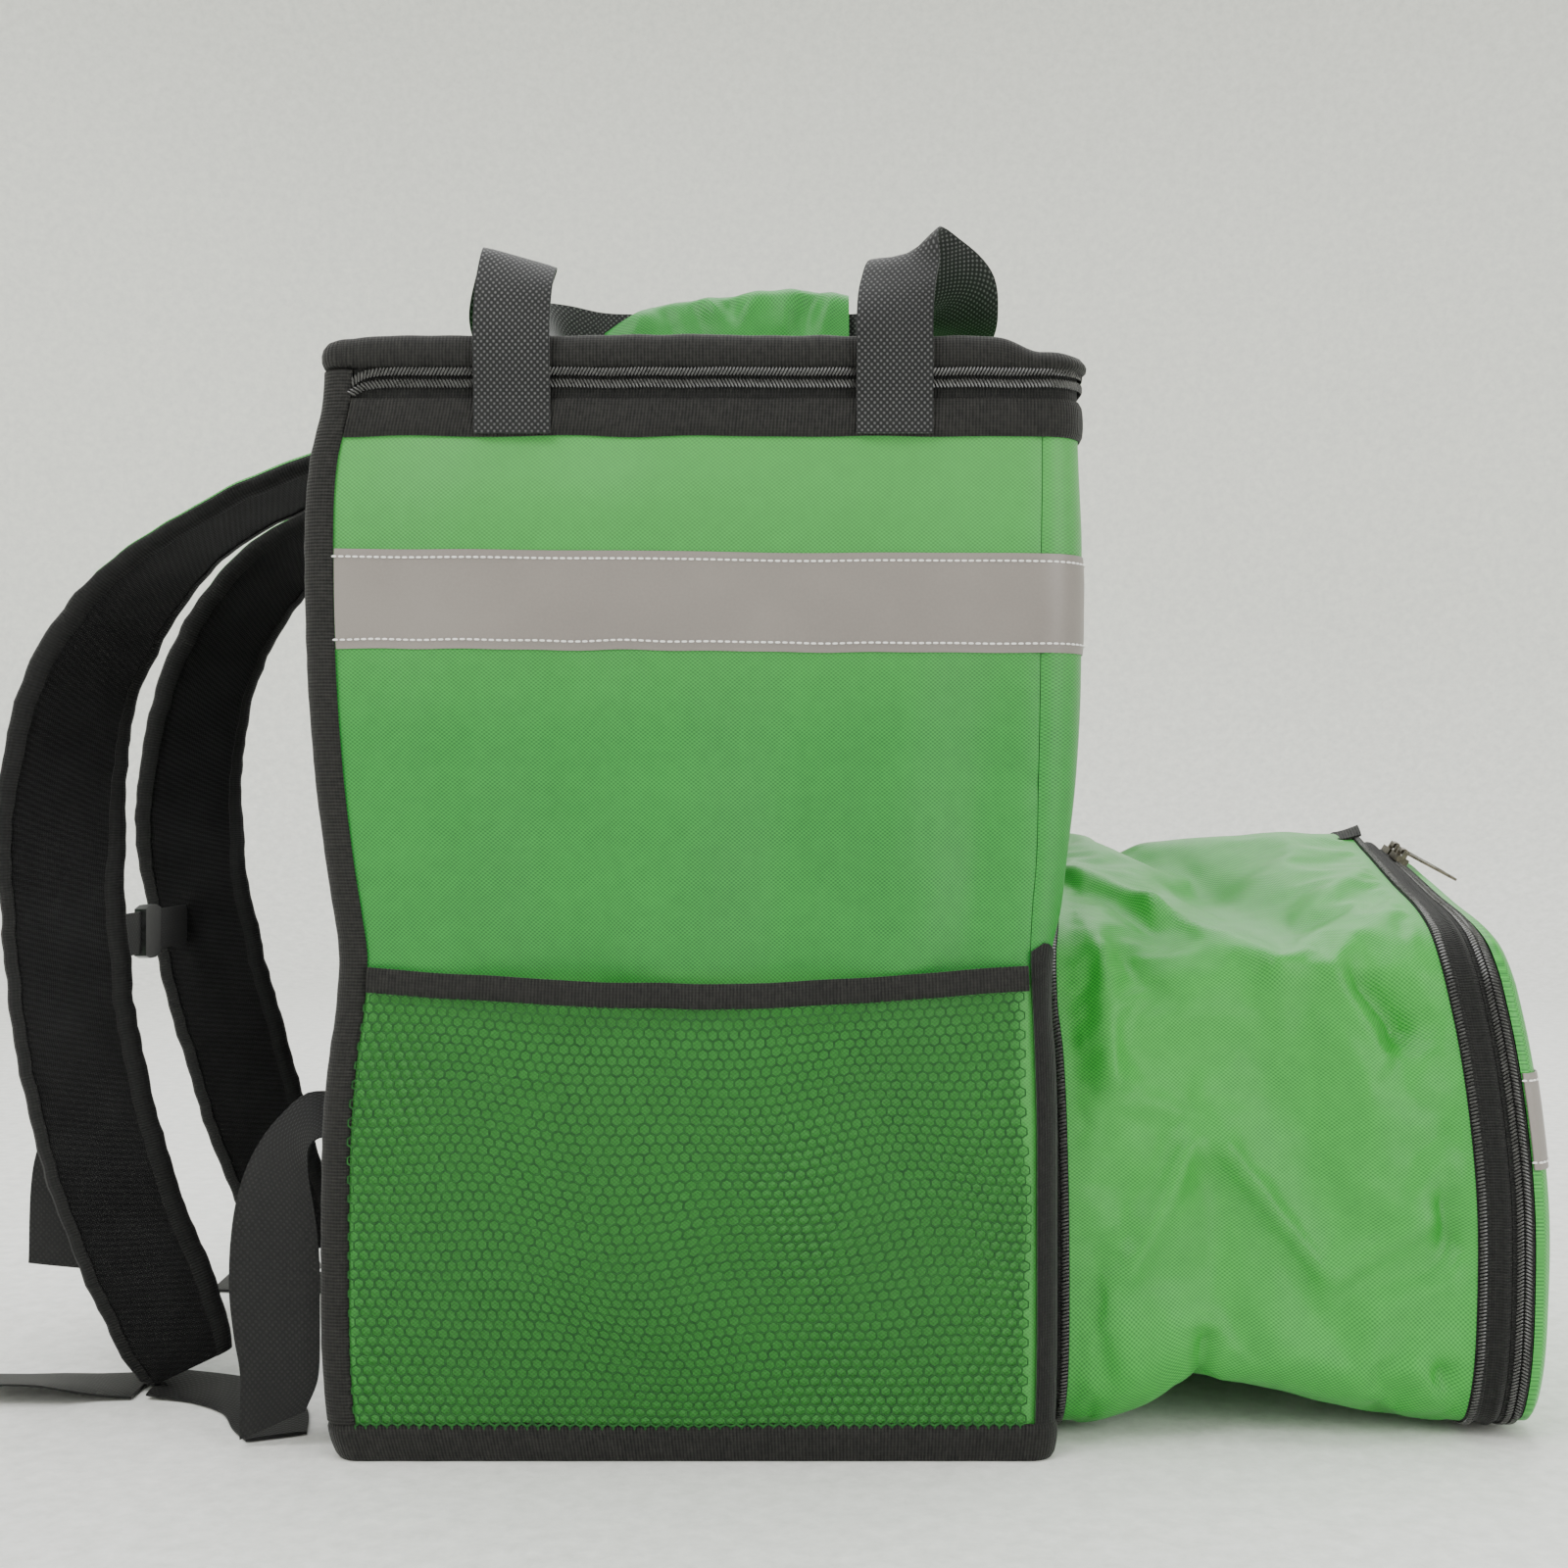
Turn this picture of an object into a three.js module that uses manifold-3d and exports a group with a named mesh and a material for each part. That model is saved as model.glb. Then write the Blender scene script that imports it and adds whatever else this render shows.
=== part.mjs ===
import * as THREE from 'three';
import { mergeVertices } from 'three/addons/utils/BufferGeometryUtils.js';
import Module from 'manifold-3d';

// An insulated backpack with a zipped lid, seen from its side with its front towards +X.
// Millimetres, +Z up. The origin is on the floor, under the middle of the main body.
// "Near" pieces lie at negative Y and "far" pieces at positive Y.

// Body
const bodyWidth = 430;
const halfWidth = bodyWidth / 2;
const wall = 6;
const seamGap = 0.3;
const backRadius = 10;
const panelTop = 526;
const zipperHeight = 15;
const rimHeight = 20;
const hingeTop = panelTop + zipperHeight;
const bodyTop = hingeTop + rimHeight;

// Outline of the body by height: where the back, the front side seam and the front are.
const bodyTable = [
  { height: 0, back: -171, seam: 172, front: 182 },
  { height: 20, back: -177.5, seam: 174, front: 184 },
  { height: 90, back: -180.5, seam: 175, front: 185 },
  { height: 142, back: -178.5, seam: 175, front: 185 },
  { height: 190, back: -175, seam: 174, front: 184 },
  { height: 240, back: -170.5, seam: 172, front: 182 },
  { height: 259, back: -172.5, seam: 173, front: 187 },
  { height: 298, back: -176, seam: 175, front: 192 },
  { height: 337, back: -180.5, seam: 176, front: 197 },
  { height: 386, back: -185.5, seam: 177, front: 200 },
  { height: 455, back: -188, seam: 177.5, front: 200.5 },
  { height: 498, back: -186, seam: 178, front: 198.5 },
  { height: panelTop, back: -181, seam: 178, front: 197.5 },
  { height: bodyTop, back: -179, seam: 178, front: 198 },
];

// How far the side panels and the upper front bulge at their middle, by height.
const bulgeTable = [
  { height: 0, side: 0, front: 0 },
  { height: 90, side: 2, front: 0 },
  { height: 190, side: 2, front: 0 },
  { height: 240, side: -1, front: 0 },
  { height: 337, side: 2, front: 0 },
  { height: 386, side: 3, front: 3 },
  { height: 455, side: 2, front: 4 },
  { height: 498, side: 1, front: 2 },
  { height: panelTop, side: 0, front: 0 },
  { height: bodyTop, side: 0, front: 0 },
];

// Shares along a side panel at which its shape is worked out.
const sideShares = [0, 0.15, 0.32, 0.5, 0.68, 0.85, 1];
const cornerAngles = [0, 30, 60, 90];
const backAngles = [0, 45, 90];
const faceShares = [0, 0.15, 0.35, 0.65, 0.85, 1];
const backShares = [0.3, 0.7];

// Bindings, bands, tape and zipper
const bindingHeight = 18;
const bindingThick = 2;
const backBindingWidth = 15;
const bandBottom = panelTop - 16;
const tapeBottom = 404;
const tapeTop = 454;
const tapeThick = 0.8;
const zipTeethBottom = panelTop + 7;
const zipTeethOut = 2.4;
const rimWidth = 9;

// Mesh pockets
const netThick = 1.2;
const netSlack = 11;
const netEdge = 1.2;
const pocketBindingHeight = 12;
const pocketBindingThick = 3;
const pocketTopTable = [
  { share: 0, top: 246 },
  { share: 0.32, top: 240 },
  { share: 0.5, top: 238.5 },
  { share: 0.68, top: 240 },
  { share: 1, top: 247 },
];

// Expanded compartment: half of its outline across the bag, from the bottom to the top.
const compartmentTable = [
  { across: 0, height: 4 },
  { across: 90, height: 4 },
  { across: 162, height: 5 },
  { across: 182, height: 11 },
  { across: 190, height: 26 },
  { across: 194, height: 60 },
  { across: 193, height: 112 },
  { across: 184, height: 168 },
  { across: 172, height: 220 },
  { across: 165, height: 240 },
  { across: 153, height: 257 },
  { across: 136, height: 267 },
  { across: 88, height: 281 },
  { across: 32, height: 298 },
  { across: 0, height: 306 },
];
const bodyZipWidth = 8.7;
const gussetEnd = 401;
const outerZipWidth = 6.7;
const outerBandWidth = 11;
const pocketZipWidth = 11.3;
const outerZipEnd = gussetEnd + outerZipWidth;
const outerBandEnd = outerZipEnd + outerBandWidth;
const pocketZipEnd = outerBandEnd + pocketZipWidth;
const gussetThick = 2;
const bandThick = 2.4;

// How far the outer ring leans back with height.
const leanTable = [
  { height: 0, lean: -3 },
  { height: 60, lean: 0 },
  { height: 110, lean: 1 },
  { height: 160, lean: 0 },
  { height: 200, lean: -3 },
  { height: 240, lean: -8 },
  { height: 260, lean: -10 },
  { height: 310, lean: -12 },
];

// Folds of the gusset by share of its length, from the body to the outer ring.
const gussetFolds = [
  { share: 0, lift: 0, side: 0, shoulder: 0, roof: 0 },
  { share: 0.08, lift: 1, side: 1, shoulder: 3, roof: 1 },
  { share: 0.2, lift: 8, side: 3, shoulder: 9, roof: 2 },
  { share: 0.36, lift: 26, side: 6, shoulder: 13, roof: 4 },
  { share: 0.5, lift: 23, side: 8, shoulder: 11, roof: 3 },
  { share: 0.65, lift: 13, side: 6, shoulder: 7, roof: 2 },
  { share: 0.8, lift: 5, side: 4, shoulder: 4, roof: 0 },
  { share: 0.92, lift: 1, side: 2, shoulder: 1, roof: 0 },
  { share: 1, lift: 0, side: 0, shoulder: 0, roof: 0 },
];

// How far the ring's top edge drops towards the front.
const dropTable = [
  { along: 0, drop: 0 },
  { along: gussetEnd, drop: 0 },
  { along: gussetEnd + 7, drop: 3 },
  { along: gussetEnd + 17, drop: 8 },
  { along: pocketZipEnd, drop: 15 },
];

// Front pocket panel: rings shrinking to its middle, and how far each stands out.
const pocketRings = [
  { share: 1, out: 0 },
  { share: 0.98, out: 4 },
  { share: 0.9, out: 8 },
  { share: 0.6, out: 12 },
  { share: 0.25, out: 13 },
];
const pocketThick = 4;
const pocketCentre = 150;
const pocketTapeBottom = 140;
const pocketTapeTop = 188;

// Shoulder straps: the middle line, how far the strap has turned, and its width.
const strapAcross = 100;
const strapThick = 11;
const nearStrapTable = [
  { x: -186.8, height: 514, turned: 10, width: 68 },
  { x: -205, height: 511, turned: 14, width: 68 },
  { x: -240, height: 498, turned: 19, width: 68 },
  { x: -277, height: 476, turned: 24, width: 68 },
  { x: -306, height: 450, turned: 32, width: 68 },
  { x: -329, height: 418, turned: 42, width: 68 },
  { x: -343, height: 385, turned: 50, width: 68 },
  { x: -350, height: 345, turned: 60, width: 69 },
  { x: -353, height: 304, turned: 74, width: 70 },
  { x: -351, height: 266, turned: 90, width: 70 },
  { x: -345, height: 205, turned: 90, width: 70 },
  { x: -333, height: 147, turned: 90, width: 68 },
  { x: -317, height: 96, turned: 90, width: 64 },
  { x: -300, height: 56, turned: 90, width: 56 },
  { x: -285, height: 22, turned: 90, width: 50 },
];
const farStrapTable = [
  { x: -186.8, height: 514, turned: 10, width: 68 },
  { x: -208, height: 512, turned: 14, width: 68 },
  { x: -248, height: 503, turned: 19, width: 68 },
  { x: -283, height: 482, turned: 24, width: 68 },
  { x: -305, height: 455, turned: 32, width: 68 },
  { x: -322, height: 423, turned: 42, width: 68 },
  { x: -334, height: 388, turned: 50, width: 68 },
  { x: -341, height: 346, turned: 60, width: 69 },
  { x: -341, height: 304, turned: 74, width: 70 },
  { x: -336, height: 266, turned: 90, width: 70 },
  { x: -322, height: 207, turned: 90, width: 70 },
  { x: -308, height: 158, turned: 90, width: 68 },
  { x: -294, height: 110, turned: 90, width: 64 },
  { x: -279, height: 68, turned: 90, width: 56 },
  { x: -263, height: 28, turned: 90, width: 50 },
];

// Handles: the middle line of the webbing and the direction of its width.
const handleWidth = 38;
const webbingThick = 2;
const leftLegTable = [
  { x: -86, y: -219.2, height: 511, wide: [1, 0, 0] },
  { x: -86, y: -219.6, height: 530, wide: [1, 0, 0] },
  { x: -86, y: -221.5, height: 548, wide: [1, 0, 0] },
  { x: -86, y: -221, height: 568, wide: [1, 0, -0.04] },
  { x: -85, y: -216, height: 585, wide: [1, 0, -0.12] },
  { x: -84, y: -207, height: 597, wide: [0.97, 0.05, -0.24] },
  { x: -85, y: -195, height: 600, wide: [0.96, 0.12, -0.24] },
  { x: -91, y: -182, height: 592, wide: [0.96, 0.2, -0.2] },
  { x: -96, y: -168, height: 581, wide: [0.97, 0.24, -0.1] },
  { x: -97, y: -142, height: 574, wide: [0.98, 0.2, 0] },
  { x: -95, y: -108, height: 581, wide: [0.98, 0.2, 0] },
  { x: -92, y: -70, height: 595, wide: [0.9, 0.3, -0.3] },
  { x: -87, y: -38, height: 603, wide: [0.6, 0.3, -0.7] },
  { x: -79, y: -16, height: 604, wide: [0.2, 0.1, -0.97] },
  { x: -63, y: -5.5, height: 602, wide: [0, 0, -1] },
  { x: -40, y: -4, height: 601, wide: [0, 0, -1] },
];
const rightLegTable = [
  { x: 70, y: -4, height: 601, wide: [0, 0, -1] },
  { x: 92, y: -5.5, height: 601, wide: [0, 0, -1] },
  { x: 110, y: -17, height: 601, wide: [-0.2, 0.1, -0.97] },
  { x: 124, y: -42, height: 598, wide: [-0.5, -0.2, -0.8] },
  { x: 136, y: -78, height: 588, wide: [-0.9, -0.3, -0.3] },
  { x: 142, y: -116, height: 579, wide: [-0.98, -0.2, 0.04] },
  { x: 143, y: -148, height: 579, wide: [-0.97, -0.2, -0.1] },
  { x: 139, y: -170, height: 587, wide: [-0.95, -0.2, -0.26] },
  { x: 126, y: -188, height: 598, wide: [-0.9, -0.18, -0.42] },
  { x: 112, y: -203, height: 601, wide: [-0.9, -0.06, -0.4] },
  { x: 106, y: -214, height: 589, wide: [-0.97, 0, -0.2] },
  { x: 104, y: -220.6, height: 569, wide: [-1, 0, -0.04] },
  { x: 104, y: -221.5, height: 548, wide: [-1, 0, 0] },
  { x: 104, y: -219.6, height: 530, wide: [-1, 0, 0] },
  { x: 104, y: -219.2, height: 511, wide: [-1, 0, 0] },
];

// Grip wrap round both handles
const wrapStart = -59;
const wrapEnd = 88;
const wrapThick = 2;
const wrapTop = 631;
const wrapTall = 58;
const wrapBottom = wrapTop - wrapTall;
const wrapTable = [
  { share: 0, top: wrapTop - 4, bottom: wrapBottom + 2, out: 11.5 },
  { share: 0.12, top: wrapTop - 2, bottom: wrapBottom + 1, out: 11 },
  { share: 0.5, top: wrapTop, bottom: wrapBottom, out: 12 },
  { share: 0.88, top: wrapTop - 1, bottom: wrapBottom + 1, out: 11 },
  { share: 1, top: wrapTop - 2, bottom: wrapBottom + 2, out: 11.5 },
];

// Lower webbing that leaves the back seam and hangs to the floor: its two edges.
const lowerTable = [
  { outer: [-176.9, -165, 176], inner: [-180.2, -203, 160] },
  { outer: [-195, -172, 177], inner: [-187, -204, 158] },
  { outer: [-211, -182, 165], inner: [-190.5, -204.5, 151] },
  { outer: [-222, -190, 148], inner: [-190, -204.5, 139] },
  { outer: [-228, -197, 128], inner: [-187.5, -204, 123] },
  { outer: [-230.5, -201, 106], inner: [-185.4, -203.5, 104] },
  { outer: [-231, -202, 84], inner: [-185, -203, 82] },
  { outer: [-229, -201, 60], inner: [-185, -203, 60] },
  { outer: [-226, -199, 36], inner: [-186, -202, 38] },
  { outer: [-227.5, -195, 4], inner: [-193, -199, 20] },
];
const floorRest = 1.4;
const lockEntry = 3;
const nearFloorTable = [
  { near: [-226, -189], far: [-198, -176] },
  { near: [-238, -170], far: [-206, -140] },
  { near: [-252, -142], far: [-226, -101] },
  { near: [-276, -123], far: [-262, -77] },
  { near: [-300, -117], far: [-300, -69] },
];
const farFloorTable = [
  { near: [-226, 189], far: [-198, 176] },
  { near: [-234, 172], far: [-204, 144] },
  { near: [-246, 158], far: [-225, 112] },
  { near: [-262, 158], far: [-256, 110] },
  { near: [-270, 160], far: [-270, 112] },
];

// Free ends of webbing that lie past the ladder locks: their two edges
const nearTailTable = [
  { near: [-307.7, -118, 1.6], far: [-307.7, -70, 1.6] },
  { near: [-328, -122, 4.5], far: [-335, -75, 2] },
  { near: [-348, -130, 10.5], far: [-356, -83, 4.5] },
  { near: [-374, -130, 12], far: [-380, -83, 4] },
  { near: [-396, -130, 12], far: [-400, -83, 4] },
];
const farTailTable = [
  { near: [-277.7, 112, 1.6], far: [-277.7, 160, 1.6] },
  { near: [-302, 113, 1.6], far: [-302, 161, 1.6] },
  { near: [-330, 116, 1.6], far: [-330, 164, 1.6] },
];

// Flap of webbing sewn behind the near strap: its edges as distances along the bag and heights
const flapTable = [
  { left: [-361, 155], right: [-314, 150] },
  { left: [-370.5, 122], right: [-323, 117] },
  { left: [-373, 69.5], right: [-326, 65] },
];

// Ladder locks
const lockWide = 60;
const lockLong = 40;
const lockThick = 9;
const lockTilt = 63;
const lockHeight = 20.9;
const lockPlaces = [
  ['near_ladder_lock', -311.5, -strapAcross + strapThick / 2 + 0.3 + lockWide / 2],
  ['far_ladder_lock', -281.5, strapAcross + strapThick / 2 + 0.3 + lockWide / 2],
];

// Pocket sliders and their pulls
const sliderLong = 12;
const sliderWide = 8;
const sliderTall = 3.6;
const barHeight = 3;
const barRadius = 0.8;
const eyeRadius = 2.1;
const eyeHole = 1.3;
const eyeWide = 5;
const pullLong = 37;
const pullWide = 7.5;
const pullThick = 1.4;
const sliderAcross = [-8.5, -23.5];

// Materials
function cloth(colour, roughness) {
  return new THREE.MeshStandardMaterial({ color: colour, roughness: roughness, metalness: 0 });
}
const greenFabric = cloth(0x4caf50, 0.6);
const blackFabric = cloth(0x2f2d2c, 0.8);
const blackMesh = cloth(0x1a1a1b, 0.9);
const webbing = cloth(0x4a4c50, 0.75);
const reflective = cloth(0xa39c98, 0.4);
const zipperCoil = cloth(0x2a2a2a, 0.45);
const netGreen = cloth(0x3f9443, 0.6);
const blackPlastic = cloth(0x3a3b3c, 0.45);
const darkMetal = new THREE.MeshStandardMaterial({ color: 0x55534c, roughness: 0.35, metalness: 0.9 });

const group = new THREE.Group();

function addPiece(name, geometry, material, parent = group) {
  const mesh = new THREE.Mesh(geometry, material);
  mesh.name = name;
  parent.add(mesh);
  return mesh;
}

// The value of a column of a table at a given key, straight between its rows.
function read(table, key, at, column) {
  if (at <= table[0][key]) return table[0][column];
  for (let i = 1; i < table.length; i++) {
    const a = table[i - 1];
    const b = table[i];
    if (at <= b[key]) {
      return a[column] + ((at - a[key]) / (b[key] - a[key])) * (b[column] - a[column]);
    }
  }
  return table[table.length - 1][column];
}

// A closed solid from points and triangles, turned so that its faces point out.
function closedSolid(points, triangles) {
  let volume = 0;
  for (const [a, b, c] of triangles) {
    volume += points[a].dot(new THREE.Vector3().crossVectors(points[b], points[c]));
  }
  const index = triangles.flatMap(([a, b, c]) => (volume > 0 ? [a, b, c] : [a, c, b]));
  const geometry = new THREE.BufferGeometry();
  geometry.setAttribute('position', new THREE.Float32BufferAttribute(points.flatMap((p) => [p.x, p.y, p.z]), 3));
  geometry.setIndex(index);
  geometry.computeVertexNormals();
  return geometry;
}

// A solid between an outer and an inner grid of points. A wrapped grid closes on itself.
function slab(outer, inner, wrap = false) {
  const rows = outer.length;
  const columns = outer[0].length;
  const points = [...outer.flat(), ...inner.flat()];
  const half = rows * columns;
  const at = (i, j) => i * columns + (j % columns);
  const triangles = [];
  const quad = (a, b, c, d) => triangles.push([a, b, c], [a, c, d]);
  const last = wrap ? columns : columns - 1;
  for (let i = 0; i < rows - 1; i++) {
    for (let j = 0; j < last; j++) {
      const a = at(i, j);
      const b = at(i, j + 1);
      const c = at(i + 1, j + 1);
      const d = at(i + 1, j);
      quad(a, b, c, d);
      quad(half + a, half + d, half + c, half + b);
    }
  }
  for (let j = 0; j < last; j++) {
    quad(at(0, j + 1), at(0, j), half + at(0, j), half + at(0, j + 1));
    quad(at(rows - 1, j), at(rows - 1, j + 1), half + at(rows - 1, j + 1), half + at(rows - 1, j));
  }
  if (!wrap) {
    const end = columns - 1;
    for (let i = 0; i < rows - 1; i++) {
      quad(at(i, 0), at(i + 1, 0), half + at(i + 1, 0), half + at(i, 0));
      quad(at(i + 1, end), at(i, end), half + at(i, end), half + at(i + 1, end));
    }
  }
  return closedSolid(points, triangles);
}

// A solid through a row of closed loops, shut with a fan at each end.
function loft(loops) {
  const count = loops[0].length;
  const points = loops.flat();
  const triangles = [];
  for (let i = 0; i < loops.length - 1; i++) {
    for (let j = 0; j < count; j++) {
      const k = (j + 1) % count;
      triangles.push([i * count + j, i * count + k, (i + 1) * count + k]);
      triangles.push([i * count + j, (i + 1) * count + k, (i + 1) * count + j]);
    }
  }
  for (const [row, turn] of [[0, true], [loops.length - 1, false]]) {
    const middle = new THREE.Vector3();
    loops[row].forEach((p) => middle.addScaledVector(p, 1 / count));
    points.push(middle);
    for (let j = 0; j < count; j++) {
      const a = row * count + j;
      const b = row * count + ((j + 1) % count);
      triangles.push(turn ? [points.length - 1, b, a] : [points.length - 1, a, b]);
    }
  }
  return closedSolid(points, triangles);
}

// The same solid on the other side of the bag.
function mirrored(geometry) {
  const source = geometry.getAttribute('position');
  const points = [];
  for (let i = 0; i < source.count; i++) {
    points.push(new THREE.Vector3(source.getX(i), -source.getY(i), source.getZ(i)));
  }
  const index = geometry.getIndex();
  const triangles = [];
  for (let i = 0; i < index.count; i += 3) {
    triangles.push([index.getX(i), index.getX(i + 1), index.getX(i + 2)]);
  }
  return closedSolid(points, triangles);
}

// Places on the body's outline. Each is a function of the height and the distance outwards.
function sidePlace(share, trim = 0) {
  return (z, off) => {
    const start = read(bodyTable, 'height', z, 'back') + backRadius + trim;
    const seam = read(bodyTable, 'height', z, 'seam') - trim;
    const bulge = read(bulgeTable, 'height', z, 'side') * Math.sin(Math.PI * share);
    return new THREE.Vector3(start + share * (seam - start), -halfWidth - bulge - off, z);
  };
}
function sidePlaceAt(distance) {
  return (z, off) => {
    const start = read(bodyTable, 'height', z, 'back') + backRadius;
    const seam = read(bodyTable, 'height', z, 'seam');
    const share = distance / (seam - start);
    const bulge = read(bulgeTable, 'height', z, 'side') * Math.sin(Math.PI * share);
    return new THREE.Vector3(start + distance, -halfWidth - bulge - off, z);
  };
}
function frontCornerPlace(degrees) {
  const angle = THREE.MathUtils.degToRad(degrees);
  return (z, off) => {
    const seam = read(bodyTable, 'height', z, 'seam');
    const radius = read(bodyTable, 'height', z, 'front') - seam;
    const reach = radius + off;
    return new THREE.Vector3(seam + reach * Math.sin(angle), -halfWidth + radius - reach * Math.cos(angle), z);
  };
}
function frontPlace(share) {
  return (z, off) => {
    const front = read(bodyTable, 'height', z, 'front');
    const radius = front - read(bodyTable, 'height', z, 'seam');
    const bulge = read(bulgeTable, 'height', z, 'front') * Math.sin(Math.PI * share);
    return new THREE.Vector3(front + bulge + off, (2 * share - 1) * (halfWidth - radius), z);
  };
}
function backCornerPlace(degrees) {
  const angle = THREE.MathUtils.degToRad(degrees);
  return (z, off) => {
    const back = read(bodyTable, 'height', z, 'back');
    const reach = backRadius + off;
    return new THREE.Vector3(
      back + backRadius - reach * Math.sin(angle), -halfWidth + backRadius - reach * Math.cos(angle), z);
  };
}
function backPlace(share) {
  return (z, off) => {
    const back = read(bodyTable, 'height', z, 'back');
    return new THREE.Vector3(back - off, (1 - 2 * share) * (halfWidth - backRadius), z);
  };
}
function farPlace(place) {
  return (z, off) => {
    const p = place(z, off);
    p.y = -p.y;
    return p;
  };
}

const nearSide = sideShares.map((share) => sidePlace(share));
const nearFrontCorner = cornerAngles.map(frontCornerPlace);
const frontFace = faceShares.slice(1, -1).map(frontPlace);
const nearBackCorner = backAngles.map(backCornerPlace);
const backFace = backShares.map(backPlace);
const reversed = (places) => [...places].reverse();
const far = (places) => places.map(farPlace);

// Right round the front: near side, front corners and front, far side.
const frontPlaces = [...nearFrontCorner, ...frontFace, ...reversed(far(nearFrontCorner))];
const backPlaces = [...far(nearBackCorner), ...backFace, ...reversed(nearBackCorner)];
const bandNear = [sidePlaceAt(backBindingWidth + seamGap), ...nearSide.slice(1, -1)];
const bandPlaces = [...bandNear, ...frontPlaces, ...reversed(far(bandNear))];
const wholeOutline = [...nearSide.slice(0, -1), ...frontPlaces, ...reversed(far(nearSide)).slice(1, -1), ...backPlaces];

// Heights at which a piece of the body is worked out.
function levels(bottom, top) {
  const between = [...bodyTable, ...bulgeTable].map((row) => row.height).filter((z) => z > bottom && z < top);
  return [...new Set([bottom, ...between, top])].sort((a, b) => a - b);
}

// A wall that follows the outline from one place to the next.
function shell(places, heights, outside, inside, wrap = false) {
  return slab(
    heights.map((z) => places.map((place) => place(z, outside))),
    heights.map((z) => places.map((place) => place(z, inside))),
    wrap,
  );
}

// A band whose inside and outside distances change with height.
function banded(places, rows, wrap = false) {
  return slab(
    rows.map((row) => places.map((place) => place(row.height, row.out))),
    rows.map((row) => places.map((place) => place(row.height, row.inside))),
    wrap,
  );
}

// Body panels
const panelFoot = wall + 1.4;
const trimmedSide = sideShares.map((share) => sidePlace(share, seamGap));
const basePanel = loft([0, wall + 1].map((z) => wholeOutline.map((place) => place(z, 0))));
addPiece('base_panel', basePanel, greenFabric);
const sidePanel = shell(trimmedSide, levels(panelFoot, panelTop), 0, -wall);
addPiece('near_side_panel', sidePanel, greenFabric);
addPiece('far_side_panel', mirrored(sidePanel), greenFabric);
addPiece('front_panel', shell(frontPlaces, levels(panelFoot, panelTop), 0, -wall), greenFabric);
addPiece('back_panel', shell(backPlaces, levels(panelFoot, hingeTop), 0, -wall), blackMesh);

// Bindings and bands, which lie on the panels with a small gap
const skin = seamGap;
const bindingOut = skin + bindingThick;
const footPlaces = [
  ...reversed(nearFrontCorner), ...reversed(nearSide).slice(1, -1), ...reversed(backPlaces),
  ...far(nearSide).slice(1, -1), ...far(nearFrontCorner),
];
addPiece('bottom_binding', shell(footPlaces, levels(0, bindingHeight), bindingOut, skin), blackFabric);
const bindingPlaces = [backPlace(0.97), ...reversed(nearBackCorner), sidePlaceAt(backBindingWidth)];
const backBinding = shell(bindingPlaces, levels(bindingHeight + skin, hingeTop), bindingOut, skin);
addPiece('near_back_binding', backBinding, blackFabric);
addPiece('far_back_binding', mirrored(backBinding), blackFabric);
addPiece('top_band', shell(bandPlaces, levels(bandBottom, panelTop), bindingOut, skin), blackFabric);
addPiece('reflective_tape', shell(bandPlaces, levels(tapeBottom, tapeTop), skin + tapeThick, skin), reflective);

// Lid zipper with its row of teeth, the rim above it and the lid panel inside the rim
const zipRows = [
  { height: panelTop + skin, out: 0, inside: -2 },
  { height: zipTeethBottom - 1, out: 0, inside: -2 },
  { height: zipTeethBottom, out: zipTeethOut, inside: -2 },
  { height: hingeTop, out: zipTeethOut, inside: -2 },
];
addPiece('lid_zipper', banded(bandPlaces, zipRows), zipperCoil);
const rimRows = [
  { height: hingeTop + skin, out: 1.2, inside: -rimWidth },
  { height: hingeTop + 4, out: 3, inside: -rimWidth },
  { height: bodyTop - 3.5, out: 3, inside: -rimWidth },
  { height: bodyTop, out: -1.5, inside: -rimWidth },
];
addPiece('lid_rim', banded(wholeOutline, rimRows, true), blackFabric);
const lidLoops = [bodyTop - 9, bodyTop - 2].map((z) => wholeOutline.map((place) => place(z, -rimWidth - skin)));
addPiece('lid_panel', loft(lidLoops), greenFabric);
const lidSlider = addPiece('lid_slider', new THREE.BoxGeometry(14, 5, 9), darkMetal);
lidSlider.position.set(-148, halfWidth + zipTeethOut + seamGap + 2.6, 536);

// Mesh pockets: a slack net between the bottom binding and a sagging top binding
const netShares = [0.985, 0.85, 0.68, 0.5, 0.32, 0.15];
const netRows = [0, 0.1, 0.3, 0.55, 0.8, 1];
function netPlace(share) {
  return share === null ? sidePlaceAt(backBindingWidth + seamGap) : sidePlace(share);
}
function netOff(share, up) {
  const slack = Math.pow(Math.sin(Math.PI * Math.min(1, Math.max(0.05, share === null ? 0.05 : share))), 0.7);
  return netEdge + netSlack * slack * Math.min(1, up * 3);
}
function pocketTop(share) {
  return read(pocketTopTable, 'share', share === null ? 0.05 : share, 'top');
}
const netColumns = [...netShares, null];
const netFoot = bindingHeight + seamGap;
const netGrid = (extra) => netRows.map((up) => netColumns.map((share) => {
  const top = pocketTop(share) - pocketBindingHeight - seamGap;
  return netPlace(share)(netFoot + up * (top - netFoot), netOff(share, up) + extra);
}));
const net = slab(netGrid(netThick), netGrid(0));
addPiece('near_mesh_pocket', net, netGreen);
addPiece('far_mesh_pocket', mirrored(net), netGreen);
const bindingGrid = (extra) => [0, 1].map((up) => netColumns.map((share) => {
  const z = pocketTop(share) - pocketBindingHeight * (1 - up);
  return netPlace(share)(z, netOff(share, 1) + extra);
}));
const pocketBinding = slab(bindingGrid(pocketBindingThick - 0.9), bindingGrid(-0.9));
addPiece('near_pocket_binding', pocketBinding, blackFabric);
addPiece('far_pocket_binding', mirrored(pocketBinding), blackFabric);

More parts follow.
